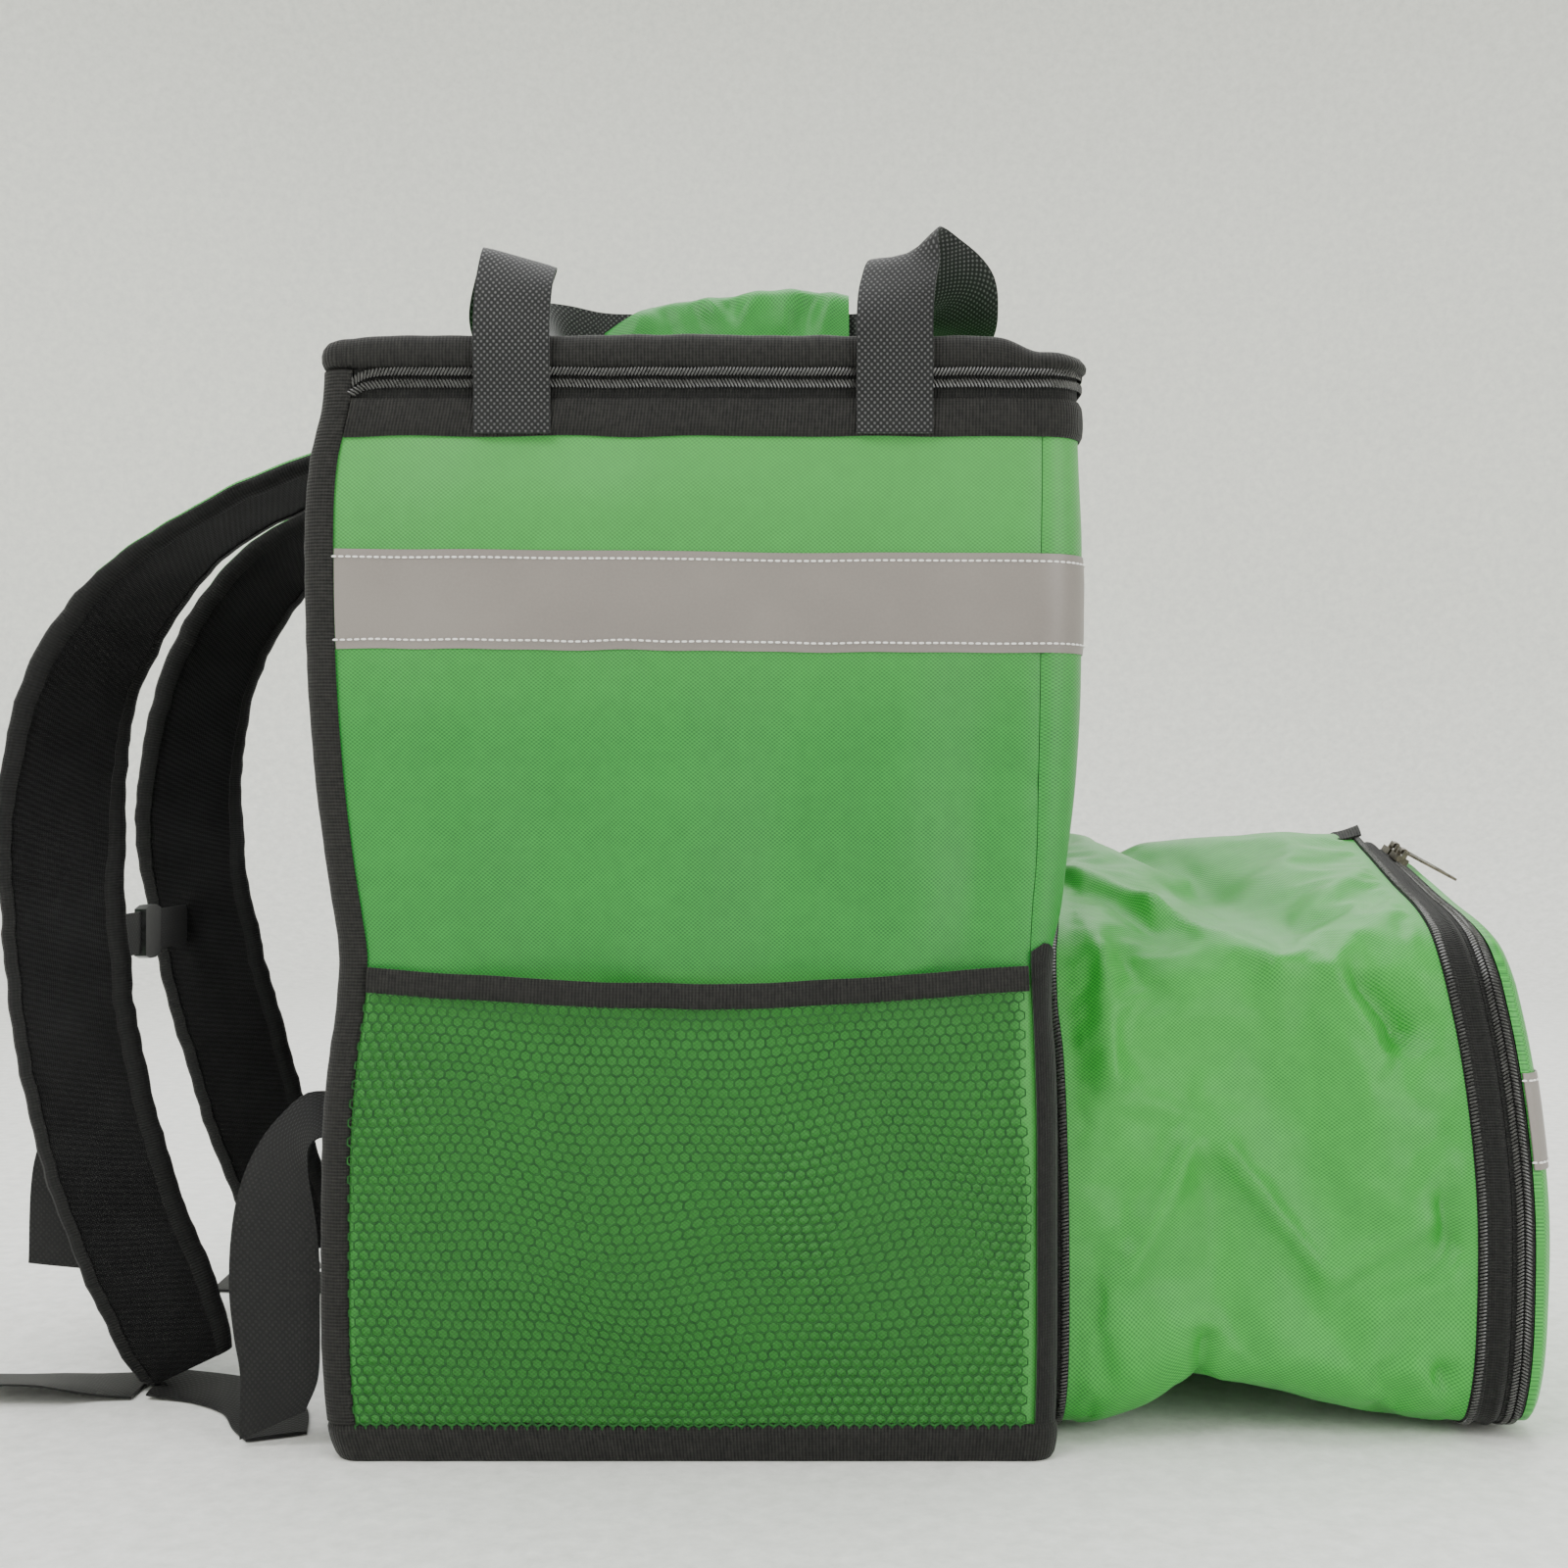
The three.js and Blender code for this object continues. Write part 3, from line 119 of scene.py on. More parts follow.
# ---------------------------------------------------------------- meshes
class Shape:
    """Points and faces, gathered piece by piece. UVs are in metres along the cloth."""

    def __init__(self):
        self.points, self.faces, self.uvs, self.count = [], [], [], 0

    def add(self, points):
        points = np.asarray(points, float)
        index = self.count + np.arange(points.shape[0] * (points.shape[1] if points.ndim == 3 else 1))
        self.points.append(points.reshape(-1, 3))
        self.count += len(index)
        return index.reshape(points.shape[:-1])

    def quads(self, index, uv, flip=False):
        def corners(a):
            return np.stack([a[:-1, :-1], a[:-1, 1:], a[1:, 1:], a[1:, :-1]], 2)
        f = corners(index).reshape(-1, 4)
        t = corners(uv).reshape(-1, 4, 2)
        if flip:
            f, t = f[:, ::-1], t[:, ::-1]
        self.faces += f.tolist()
        self.uvs.append(t.reshape(-1, 2))

    def polygons(self, faces, uv):
        self.faces += [list(f) for f in faces]
        self.uvs.append(np.asarray(uv, float).reshape(-1, 2))

    def slab(self, outer, inner, uv, wrap=False):
        """A closed solid between two grids. A wrapped grid closes on itself along its columns."""
        a, b = self.add(outer), self.add(inner)
        if wrap:
            a = np.concatenate([a, a[:, :1]], 1)
            b = np.concatenate([b, b[:, :1]], 1)
        self.quads(a, uv)
        self.quads(b, uv, flip=True)
        for side in (0, -1):
            pair = np.stack([a[side], b[side]])
            self.quads(pair, np.stack([uv[side], uv[side]]), flip=side == 0)
        if not wrap:
            for side in (0, -1):
                pair = np.stack([a[:, side], b[:, side]])
                self.quads(pair, np.stack([uv[:, side], uv[:, side]]), flip=side == -1)

    def loft(self, loops, uv):
        """A closed solid through a row of loops, with a fan at each end."""
        a = self.add(loops)
        w = np.concatenate([a, a[:, :1]], 1)
        self.quads(w, uv)
        for row, turn in ((0, -1), (-1, 1)):
            middle = int(self.add(np.mean(loops[row], axis=0)[None])[0])
            c = uv[row].mean(0)
            for j in range(a.shape[1]):
                p, q = (j, j + 1)[::turn]
                self.faces.append([middle, int(w[row, p]), int(w[row, q])])
                self.uvs.append(np.array([c, uv[row, p], uv[row, q]]))

    def tube(self, rings, uv):
        """A closed tube: rings of points in rows, closed along the rows and round each ring."""
        a = self.add(rings)
        w = np.concatenate([a, a[:, :1]], 1)
        w = np.concatenate([w, w[:1]], 0)
        self.quads(w, uv)

    def scatter(self, template, frames):
        """Copies of a small closed template at each frame: origin, along, across and out."""
        verts, faces = template
        o, t, a, n = (np.asarray(x, float) for x in frames)
        p = (o[:, None] + verts[None, :, :1] * t[:, None] + verts[None, :, 1:2] * a[:, None]
             + verts[None, :, 2:] * n[:, None])
        index = self.add(p)
        for row in index:
            base = int(row[0])
            for f in faces:
                self.faces.append([base + k for k in f])
        total = sum(len(f) for f in faces)
        self.uvs.append(np.zeros((total * len(index), 2)))

    def make(self, name, material, node=None, sharp=38):
        mesh = bpy.data.meshes.new(name)
        pts = np.concatenate(self.points) * MM
        mesh.from_pydata(pts.tolist(), [], self.faces)
        layer = mesh.uv_layers.new(name="UVMap")
        layer.data.foreach_set("uv", (np.concatenate(self.uvs) * MM).astype(np.float32).ravel())
        mesh.validate()
        mesh.update()
        o = bpy.data.objects.new(name, mesh)
        bpy.context.scene.collection.objects.link(o)
        b = bmesh.new()
        b.from_mesh(mesh)
        if b.calc_volume(signed=True) < 0:
            bmesh.ops.reverse_faces(b, faces=b.faces)
        b.to_mesh(mesh)
        b.free()
        for p in mesh.polygons:
            p.use_smooth = True
        mesh.set_sharp_from_angle(angle=math.radians(sharp))
        o.data.materials.append(material)
        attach(o, "bag")
        if node:
            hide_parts(node)
        return o


def uv_grid(u, v, rows, cols):
    """UVs in millimetres from distances along the columns and rows."""
    u = np.broadcast_to(np.asarray(u, float), (rows, cols))
    v = np.asarray(v, float)
    v = np.broadcast_to(v[:, None] if v.ndim == 1 else v, (rows, cols))
    return np.stack([u, v], 2)


def grid_uv(outer, wrap=False):
    """UVs measured on the middle row and the middle column of a grid."""
    rows, cols = outer.shape[:2]
    u = lengths(outer[rows // 2], wrap)
    v = lengths(outer[:, cols // 2])
    return uv_grid(u, v, rows, cols + 1 if wrap else cols)


def normals(grid, wrap=False):
    """Normals of a grid of points, pointing to the left of its columns' run."""
    if wrap:
        du = np.roll(grid, -1, 1) - np.roll(grid, 1, 1)
    else:
        du = np.gradient(grid, axis=1)
    dv = np.gradient(grid, axis=0)
    return unit(np.cross(du, dv))


def capsule(long, radius):
    """A small rounded rod along its own X, for a stitch or a tooth."""
    sides = 5
    rings = [(-long / 2, 0.55), (-long / 4, 1), (long / 4, 1), (long / 2, 0.55)]
    verts, faces = [], []
    for x, share in rings:
        for k in range(sides):
            a = 2 * math.pi * k / sides
            verts.append((x, radius * share * math.cos(a), radius * share * math.sin(a)))
    for r in range(len(rings) - 1):
        for k in range(sides):
            j = (k + 1) % sides
            faces.append([r * sides + k, r * sides + j, (r + 1) * sides + j, (r + 1) * sides + k])
    faces.append(list(range(sides))[::-1])
    faces.append([(len(rings) - 1) * sides + k for k in range(sides)])
    return np.array(verts), faces


def frames_along(path, out, pitch, tilt=0.0, closed=False, lead=0.0):
    """Frames at equal steps along a path whose outward directions are given."""
    s = lengths(path, closed)[-1]
    n = max(2, int(round((s - 2 * lead) / pitch)))
    p, o = resample(path, n, closed, extra=(out,))
    if closed:
        t = unit(np.roll(p, -1, 0) - np.roll(p, 1, 0))
    else:
        t = unit(np.gradient(p, axis=0))
    o = unit(o - t * np.sum(o * t, 1, keepdims=True))
    a = np.cross(o, t)
    if tilt:
        c, q = math.cos(tilt), math.sin(tilt)
        t, a = t * c + a * q, a * c - t * q
    return p, t, a, o


# ---------------------------------------------------------------- materials
def linear(r, g, b):
    def one(c):
        c = c / 255
        return c / 12.92 if c <= 0.04045 else ((c + 0.055) / 1.055) ** 2.4
    return (one(r), one(g), one(b), 1)


class Nodes:
    def __init__(self, name, roughness, metallic=0.0, sheen=0.0, specular=0.5):
        self.material = bpy.data.materials.new(name)
        self.material.use_nodes = True
        self.tree = self.material.node_tree
        self.shader = self.tree.nodes["Principled BSDF"]
        s = self.shader.inputs
        s["Roughness"].default_value = roughness
        s["Metallic"].default_value = metallic
        s["Specular IOR Level"].default_value = specular
        if sheen:
            s["Sheen Weight"].default_value = sheen
            s["Sheen Roughness"].default_value = 0.4

    def node(self, kind, **values):
        n = self.tree.nodes.new(kind)
        for key, value in values.items():
            setattr(n, key, value)
        return n

    def link(self, a, b):
        self.tree.links.new(a, b)

    def math(self, operation, a, b=None, clamp=False):
        n = self.node("ShaderNodeMath", operation=operation, use_clamp=clamp)
        for socket, value in zip(n.inputs, (a, b)):
            if value is None:
                continue
            if isinstance(value, (int, float)):
                socket.default_value = value
            else:
                self.link(value, socket)
        return n.outputs[0]

    def add(self, a, b, clamp=False):
        return self.math("ADD", a, b, clamp)

    def mul(self, a, b):
        return self.math("MULTIPLY", a, b)

    def uv(self):
        """U and V in millimetres."""
        n = self.node("ShaderNodeUVMap", uv_map="UVMap")
        split = self.node("ShaderNodeSeparateXYZ")
        self.link(n.outputs[0], split.inputs[0])
        return self.mul(split.outputs[0], 1000.0), self.mul(split.outputs[1], 1000.0)

    def place(self):
        return self.node("ShaderNodeTexCoord").outputs["Object"]

    def noise(self, scale, detail, rough=0.55):
        n = self.node("ShaderNodeTexNoise")
        n.inputs["Scale"].default_value = scale
        n.inputs["Detail"].default_value = detail
        n.inputs["Roughness"].default_value = rough
        self.link(self.place(), n.inputs["Vector"])
        return n.outputs["Fac"]

    def wave(self, value, pitch):
        """A wave between -1 and 1 along a value in millimetres."""
        return self.math("SINE", self.mul(value, 2 * math.pi / pitch))

    def mix(self, fac, a, b):
        n = self.node("ShaderNodeMix", data_type="RGBA")
        self.link(fac, n.inputs[0])
        for socket, value in ((n.inputs[6], a), (n.inputs[7], b)):
            if isinstance(value, tuple):
                socket.default_value = value
            else:
                self.link(value, socket)
        return n.outputs[2]

    def range(self, value, low, high, to_low, to_high):
        n = self.node("ShaderNodeMapRange")
        for k, x in enumerate((low, high, to_low, to_high)):
            n.inputs[k + 1].default_value = x
        self.link(value, n.inputs[0])
        return n.outputs[0]

    def spread(self, noise, low, high):
        """The middle of a noise, stretched from low to high."""
        return self.range(noise, 0.3, 0.7, low, high)

    def colour(self, value):
        self.link(value, self.shader.inputs["Base Color"])

    def rough(self, value):
        self.link(value, self.shader.inputs["Roughness"])

    def bump(self, height, strength, distance):
        n = self.node("ShaderNodeBump")
        n.inputs["Strength"].default_value = strength
        n.inputs["Distance"].default_value = distance
        self.link(height, n.inputs["Height"])
        self.link(n.outputs[0], self.shader.inputs["Normal"])



def green_cloth(name, light, dark, painted_light=False):
    """Coated polyester with a staggered weave, 2.2 by 1.9 mm. When asked, it takes painted light: painted lighter
    where it lies behind a net, and a painted highlight towards the top of the panel.
    """
    m = Nodes(name, 0.44, sheen=0.06, specular=0.55)
    u, v = m.uv()
    cell = m.mul(m.wave(u, 2.2), m.wave(v, 1.9))
    fine = m.wave(u, 0.55)
    broad = m.noise(14.0, 3.0)
    small = m.noise(160.0, 2.0)
    fac = m.add(m.mul(cell, 0.5), m.spread(broad, 0.42, 0.56))
    fac = m.add(fac, m.spread(small, -0.05, 0.05), clamp=True)
    tone = m.mix(fac, dark, light)
    if painted_light:
        split = m.node("ShaderNodeSeparateXYZ")
        m.link(m.place(), split.inputs[0])
        # painted light: the cloth below about 232 to 246 mm, behind the net, is painted lighter to make up for the
        # net's shade
        tone = m.mix(m.range(split.outputs[2], 0.232, 0.246, 0.22, 0.0), tone, linear(112, 206, 96))
        # painted highlight: the panel is painted lighter from 360 mm up to its top, standing for the sheen of the
        # light above
        tone = m.mix(m.range(split.outputs[2], 0.36, 0.54, 0.0, 0.3), tone, linear(112, 202, 104))
    m.colour(tone)
    m.rough(m.spread(broad, 0.4, 0.5))
    height = m.add(m.mul(cell, 0.5), m.mul(fine, 0.06))
    height = m.add(height, m.spread(small, -0.12, 0.12))
    m.bump(height, 0.5, 0.00028)
    return m.material


def grosgrain(name, light, dark, pitch):
    """Ribbed binding tape."""
    m = Nodes(name, 0.8, sheen=0.1, specular=0.3)
    u, v = m.uv()
    rib = m.wave(u, pitch)
    cross = m.wave(v, 1.5)
    broad = m.noise(420.0, 4.0)
    fac = m.add(m.mul(rib, 0.3), m.mul(cross, 0.1))
    fac = m.add(fac, m.spread(broad, 0.18, 0.62), clamp=True)
    m.colour(m.mix(fac, dark, light))
    m.bump(m.add(rib, m.mul(cross, 0.3)), 0.55, 0.0003)
    return m.material


def webbing_cloth(name, light, dark):
    """Woven strap with staggered light dots, 3.1 by 3.4 mm."""
    m = Nodes(name, 0.66, sheen=0.08, specular=0.35)
    u, v = m.uv()
    dots = m.mul(m.wave(u, 3.1), m.wave(v, 3.4))
    peak = m.range(dots, 0.08, 0.95, 0.0, 1.0)
    broad = m.noise(18.0, 3.0)
    fac = m.mul(peak, m.range(broad, 0.25, 0.75, 0.55, 1.0))
    m.colour(m.mix(fac, dark, light))
    m.bump(peak, 0.6, 0.0004)
    return m.material


def air_mesh_cloth(name, light, dark):
    """Black knitted spacer mesh with fine ribs."""
    m = Nodes(name, 0.92, sheen=0.1, specular=0.2)
    u, v = m.uv()
    knit = m.mul(m.wave(m.add(u, v), 2.4), m.wave(m.math("SUBTRACT", u, v), 2.4))
    rib = m.wave(m.add(v, m.mul(u, 0.35)), 3.4)
    broad = m.noise(26.0, 3.0)
    fac = m.add(m.mul(knit, 0.22), m.mul(rib, 0.2))
    fac = m.add(fac, m.range(broad, 0.25, 0.75, 0.05, 0.5), clamp=True)
    m.colour(m.mix(fac, dark, light))
    m.bump(m.add(knit, m.mul(rib, 0.8)), 0.6, 0.0005)
    return m.material


def reflective_cloth(name):
    m = Nodes(name, 0.42, metallic=0.12, specular=0.5)
    beads = m.noise(900.0, 2.0)
    broad = m.noise(9.0, 3.0)
    fac = m.add(m.spread(beads, -0.08, 0.08), m.spread(broad, 0.25, 0.75), clamp=True)
    m.colour(m.mix(fac, linear(120, 113, 109), linear(144, 137, 132)))
    m.bump(beads, 0.12, 0.0001)
    return m.material


def plain(name, light, dark, roughness, scale, bump=0.1, metallic=0.0, specular=0.5, sheen=0.0):
    m = Nodes(name, roughness, metallic=metallic, specular=specular, sheen=sheen)
    small = m.noise(scale, 4.0)
    m.colour(m.mix(m.spread(small, 0.0, 1.0), dark, light))
    m.rough(m.spread(small, max(0.05, roughness - 0.06), min(1, roughness + 0.06)))
    m.bump(small, bump, 0.0002)
    return m.material


GREEN = green_cloth("green_oxford", linear(58, 178, 58), linear(14, 106, 28))
# A darker copy of the same green oxford: painted shade on the side and front panels, which also carries the painted
# light behind the nets and near the top
GREEN_PANEL_PAINTED_SHADE_AND_LIGHT = green_cloth("green_oxford_panel_painted_shade_and_light", linear(34, 160, 50), linear(6, 86, 24), painted_light=True)
# A darker copy of the same green oxford for the grip wrap: painted shade, standing for the shadow in its folds
GREEN_WRAP_SHADED = green_cloth("green_oxford_wrap_painted_shade", linear(40, 164, 52), linear(5, 80, 22))
NET = plain("net_yarn", linear(38, 100, 40), linear(20, 70, 27), 0.6, 300.0, bump=0.3, specular=0.25)
BINDING = grosgrain("binding_ribbed", linear(47, 46, 44), linear(6, 6, 6), 1.7)
BINDING_DARK = grosgrain("zip_tape", linear(37, 37, 36), linear(6, 6, 6), 1.5)
BINDING_BLACK = grosgrain("strap_edge", linear(26, 26, 26), linear(4, 4, 4), 1.6)
WEBBING = webbing_cloth("strap_webbing", linear(98, 98, 99), linear(13, 14, 15))
WEBBING_DARK = webbing_cloth("strap_webbing_dark", linear(30, 30, 30), linear(4, 4, 5))
MESH = air_mesh_cloth("spacer_mesh", linear(34, 34, 35), linear(5, 5, 6))
REFLECTIVE = reflective_cloth("reflective_film")
THREAD = plain("white_thread", linear(252, 251, 250), linear(232, 228, 226), 0.6, 700.0, sheen=0.2)
COIL = plain("coil_nylon", linear(66, 65, 64), linear(24, 24, 23), 0.3, 500.0, specular=0.8)
METAL = plain("dark_metal", linear(118, 112, 98), linear(66, 62, 54), 0.34, 420.0, bump=0.08, metallic=0.85)
PLASTIC = plain("black_plastic", linear(66, 66, 68), linear(34, 34, 36), 0.42, 260.0)


def slab_piece(name, outer, inner, material, node=None, sharp=50, wrap=False, uv=None):
    """A closed piece between two grids of points."""
    s = Shape()
    s.slab(outer, inner, grid_uv(outer, wrap) if uv is None else uv, wrap)
    return s.make(name, material, node, sharp)


# ---------------------------------------------------------------- the body's own measures
HALF = 215.0  # half the width
SIDE_RUN = 355.0  # length of a side between its corners
FRONT_RUN = 390.0
FAR_AWAY = 999.0
SEAM_END = 0.995  # share of a side where its tapes end at the front corner
COLUMN_STEP = 5.0  # about one column of a band
STITCH_PITCH = 3.5
TOOTH_PITCH = 1.85
STRAP_FLOOR = 5.0  # lowest height of the shoulder straps
WALL = 6.0  # thickness of the panels
SEAM_GAP = 0.3
BACK_R = 10.0  # radius of the back corners
PANEL_TOP = 526.0
HINGE_TOP = 541.0

body = np.array([
    # height, back, seam, front
    (0, -173, 172, 182), (20, -178.5, 174, 184), (90, -181.5, 175, 185), (152, -181, 175, 185),
    (200, -177.4, 174, 184), (225, -173.8, 173, 182), (249, -172.2, 172, 183), (274, -175.4, 173, 189),
    (298, -179.2, 175, 192), (337, -184, 176, 197), (386, -187.8, 177, 200), (455, -189.6, 177.5, 200.5),
    (498, -187.4, 178, 198.5),
    (526, -181, 178, 197.5), (561, -179, 178, 198)], float)
back_at = smooth(body[:, 0], body[:, 1])
seam_at = smooth(body[:, 0], body[:, 2])
front_at = smooth(body[:, 0], body[:, 3])
bulge = np.array([
    # height, side, front
    (0, 0, 0), (90, 2, 0), (190, 2, 0), (240, -1, 0), (337, 2, 0), (386, 3, 3), (455, 2, 4), (498, 1, 2),
    (526, 0, 0), (561, 0, 0)], float)
side_bulge = smooth(bulge[:, 0], bulge[:, 1])
front_bulge = smooth(bulge[:, 0], bulge[:, 2])

# Soft waves of the side panels: middle along and up, half widths, height, lean
side_waves = [
    (-120, 330, 34, 150, 2.4, 0.04), (-62, 300, 30, 120, -2.2, 0.0), (-10, 330, 34, 130, 2.6, -0.05),
    (52, 300, 28, 110, -2.4, 0.06), (104, 320, 26, 120, 2.2, 0.1), (146, 300, 18, 70, -2.0, 0.12),
    (-40, 478, 110, 20, 1.3, 0.0), (-118, 268, 18, 28, -1.8, -0.3), (-30, 262, 14, 24, 1.6, 0.2),
    (120, 266, 18, 30, 1.8, 0.3), (60, 150, 60, 90, 1.5, 0.0), (-90, 120, 50, 90, -1.5, 0.0),
]


def side_out(x, z, flip):
    """How far a side panel stands out of its plane."""
    share = np.clip((x - back_at(z) - BACK_R) / (seam_at(z) - back_at(z) - BACK_R), 0, 1)
    out = side_bulge(z) * np.sin(math.pi * share)
    soft = 0.0
    shift = np.where(flip, 34.0, 0.0)
    for cx, cz, wx, wz, high, lean in side_waves:
        aside = (x - shift - cx - lean * (z - cz)) / (0.85 * wx)
        soft = soft + high * np.exp(-(aside ** 2) - ((z - cz) / wz) ** 2)
    edge = step(0, 0.1, share) * step(0, 0.1, 1 - share) * step(0, 40, z) * step(0, 26, PANEL_TOP - z)
    return out + 2.0 * soft * edge


def front_out(y, z):
    return 1.8 * ripple(y, z * 0.6, 5, 160) * step(300, 340, z) * step(0, 30, PANEL_TOP - z)


SIDE, CORNER, FRONT, BACK_CORNER, BACK = range(5)


def columns(*parts):
    """Columns of the outline: parts of (zone, first, last, count, flip)."""
    zone, value, flip = [], [], []
    for kind, first, last, count, mirror in parts:
        v = np.linspace(first, last, count)
        zone += [kind] * count
        value += v.tolist()
        flip += [mirror] * count
    return np.array(zone), np.array(value), np.array(flip)


def around(cols, z, off):
    """Points of the outline at heights z, moved outwards by off. Both are rows by columns."""
    zone, value, flip = cols
    z, off, value, zone, flip = np.broadcast_arrays(
        np.atleast_2d(np.asarray(z, float)), np.atleast_2d(np.asarray(off, float)), value[None], zone[None],
        flip[None])
    b, s, f = back_at(z), seam_at(z), front_at(z)
    r = f - s
    x = b + BACK_R + value * (s - b - BACK_R)
    y = -HALF - side_out(x, z, flip) - off
    a = value * math.pi / 2
    cx = s + (r + off) * np.sin(a)
    cy = -HALF + r - (r + off) * np.cos(a)
    fy = (2 * value - 1) * (HALF - r)
    fx = f + front_bulge(z) * np.sin(math.pi * value) + front_out(fy, z) * np.sin(math.pi * value) + off
    bx = b + BACK_R - (BACK_R + off) * np.sin(a)
    by = -HALF + BACK_R - (BACK_R + off) * np.cos(a)
    zones = [zone == kind for kind in (SIDE, CORNER, FRONT, BACK_CORNER)]
    px = np.select(zones, [x, cx, fx, bx], b - off)
    py = np.select(zones, [y, cy, fy, by], (1 - 2 * value) * (HALF - BACK_R))
    py = np.where(flip, -py, py)
    return np.stack([px, py, z + 0 * px], -1)


BIND_W = 4.6 / SIDE_RUN


def band_columns(fine):
    return columns(
        (SIDE, BIND_W, SEAM_END, int(72 * fine), False), (CORNER, 0, 1, 9, False),
        (FRONT, 0.02, 0.98, int(60 * fine), False), (CORNER, 1, 0, 9, True),
        (SIDE, SEAM_END, BIND_W, int(72 * fine), True))


def whole_columns(fine):
    return columns(
        (SIDE, 0, SEAM_END, int(72 * fine), False), (CORNER, 0, 1, 8, False),
        (FRONT, 0.02, 0.98, int(60 * fine), False), (CORNER, 1, 0, 8, True),
        (SIDE, SEAM_END, 0, int(72 * fine), True), (BACK_CORNER, 0.12, 1, 5, True),
        (BACK, 0.03, 0.97, int(50 * fine), False), (BACK_CORNER, 1, 0.12, 5, False))


def z_rows(low, high, gap):
    return np.linspace(low, high, max(2, int(round((high - low) / gap)) + 1))[:, None]


# ---------------------------------------------------------------- folds
def creased(points, normal, creases):
    """Moves points along their normals by creases: two ends, half width, height at each end, sharpness."""
    move = np.zeros(points.shape[:-1])
    for a, b, width, high_a, high_b, sharp in creases:
        a, b = np.array(a, float), np.array(b, float)
        d = b - a
        t = ((points - a) @ d) / (d @ d)
        tc = np.clip(t, 0, 1)
        dist = np.linalg.norm(points - (a + tc[..., None] * d), axis=-1)
        move += (high_a + (high_b - high_a) * tc) * np.exp(-((dist / width) ** sharp))
    return points + normal * move[..., None]


def mirrored(creases, shift_a, shift_b):
    """The same creases on the far side, with their ends moved a little."""
    flip = [1, -1, 1]
    return [(np.array(a) * flip + shift_a, np.array(b) * flip + shift_b, *rest) for a, b, *rest in creases]


def relax(grid):
    """Evens a grid of points out once, keeping its first and last rows. Its columns close on themselves."""
    out = grid.copy()
    across = (np.roll(grid, 1, 1) + np.roll(grid, -1, 1)) / 2
    out[1:-1] = grid[1:-1] * 0.5 + 0.25 * across[1:-1] + 0.125 * (grid[:-2] + grid[2:])
    return out


def settle(grid, pins, swell, cap, wrap=False):
    """Lets a grid of cloth find its own small wrinkles: it grows a little between pinned points."""
    frames, bend, tension = 16, 3.0, 12.0
    rows, cols = grid.shape[:2]
    index = np.arange(rows * cols).reshape(rows, cols)
    if wrap:
        index = np.concatenate([index, index[:, :1]], 1)
    faces = np.stack([index[:-1, :-1], index[:-1, 1:], index[1:, 1:], index[1:, :-1]], 2).reshape(-1, 4)
    mesh = bpy.data.meshes.new("settle")
    mesh.from_pydata((grid.reshape(-1, 3) * MM).tolist(), [], faces.tolist())
    o = bpy.data.objects.new("settle", mesh)
    bpy.context.scene.collection.objects.link(o)
    group = o.vertex_groups.new(name="pin")
    flat = pins.ravel()
    for value in np.unique(flat[flat > 0]):
        group.add(np.nonzero(flat == value)[0].tolist(), float(value), "REPLACE")
    cloth = o.modifiers.new("cloth", "CLOTH")
    s = cloth.settings
    s.quality = 6
    s.mass = 0.25
    s.tension_stiffness = s.compression_stiffness = tension
    s.shear_stiffness = tension * 0.6
    s.bending_stiffness = bend
    s.air_damping = 4
    s.vertex_group_mass = "pin"
    s.shrink_min = s.shrink_max = -swell
    s.effector_weights.gravity = 0
    cloth.collision_settings.use_collision = False
    cloth.point_cache.frame_start, cloth.point_cache.frame_end = 1, frames
    scene = bpy.context.scene
    for f in range(1, frames + 1):
        scene.frame_set(f)
    done = o.evaluated_get(bpy.context.evaluated_depsgraph_get()).to_mesh()
    out = np.empty(len(done.vertices) * 3, np.float32)
    done.vertices.foreach_get("co", out)
    out = out.reshape(rows, cols, 3).astype(float) / MM
    bpy.data.objects.remove(o)
    bpy.data.meshes.remove(mesh)
    scene.frame_set(1)
    move = out - grid
    far = np.linalg.norm(move, axis=-1, keepdims=True)
    return grid + move * np.minimum(1, cap / np.maximum(far, 1e-6))


# ---------------------------------------------------------------- camera, lights and floor
def make_camera():
    data = bpy.data.cameras.new("camera")
    o = bpy.data.objects.new("camera", data)
    bpy.context.scene.collection.objects.link(o)
    o.location = (0.049, -1.215, 0.337)
    o.rotation_euler = (math.pi / 2, 0, 0)
    data.sensor_width = 36
    data.lens = 46.1
    bpy.context.scene.camera = o


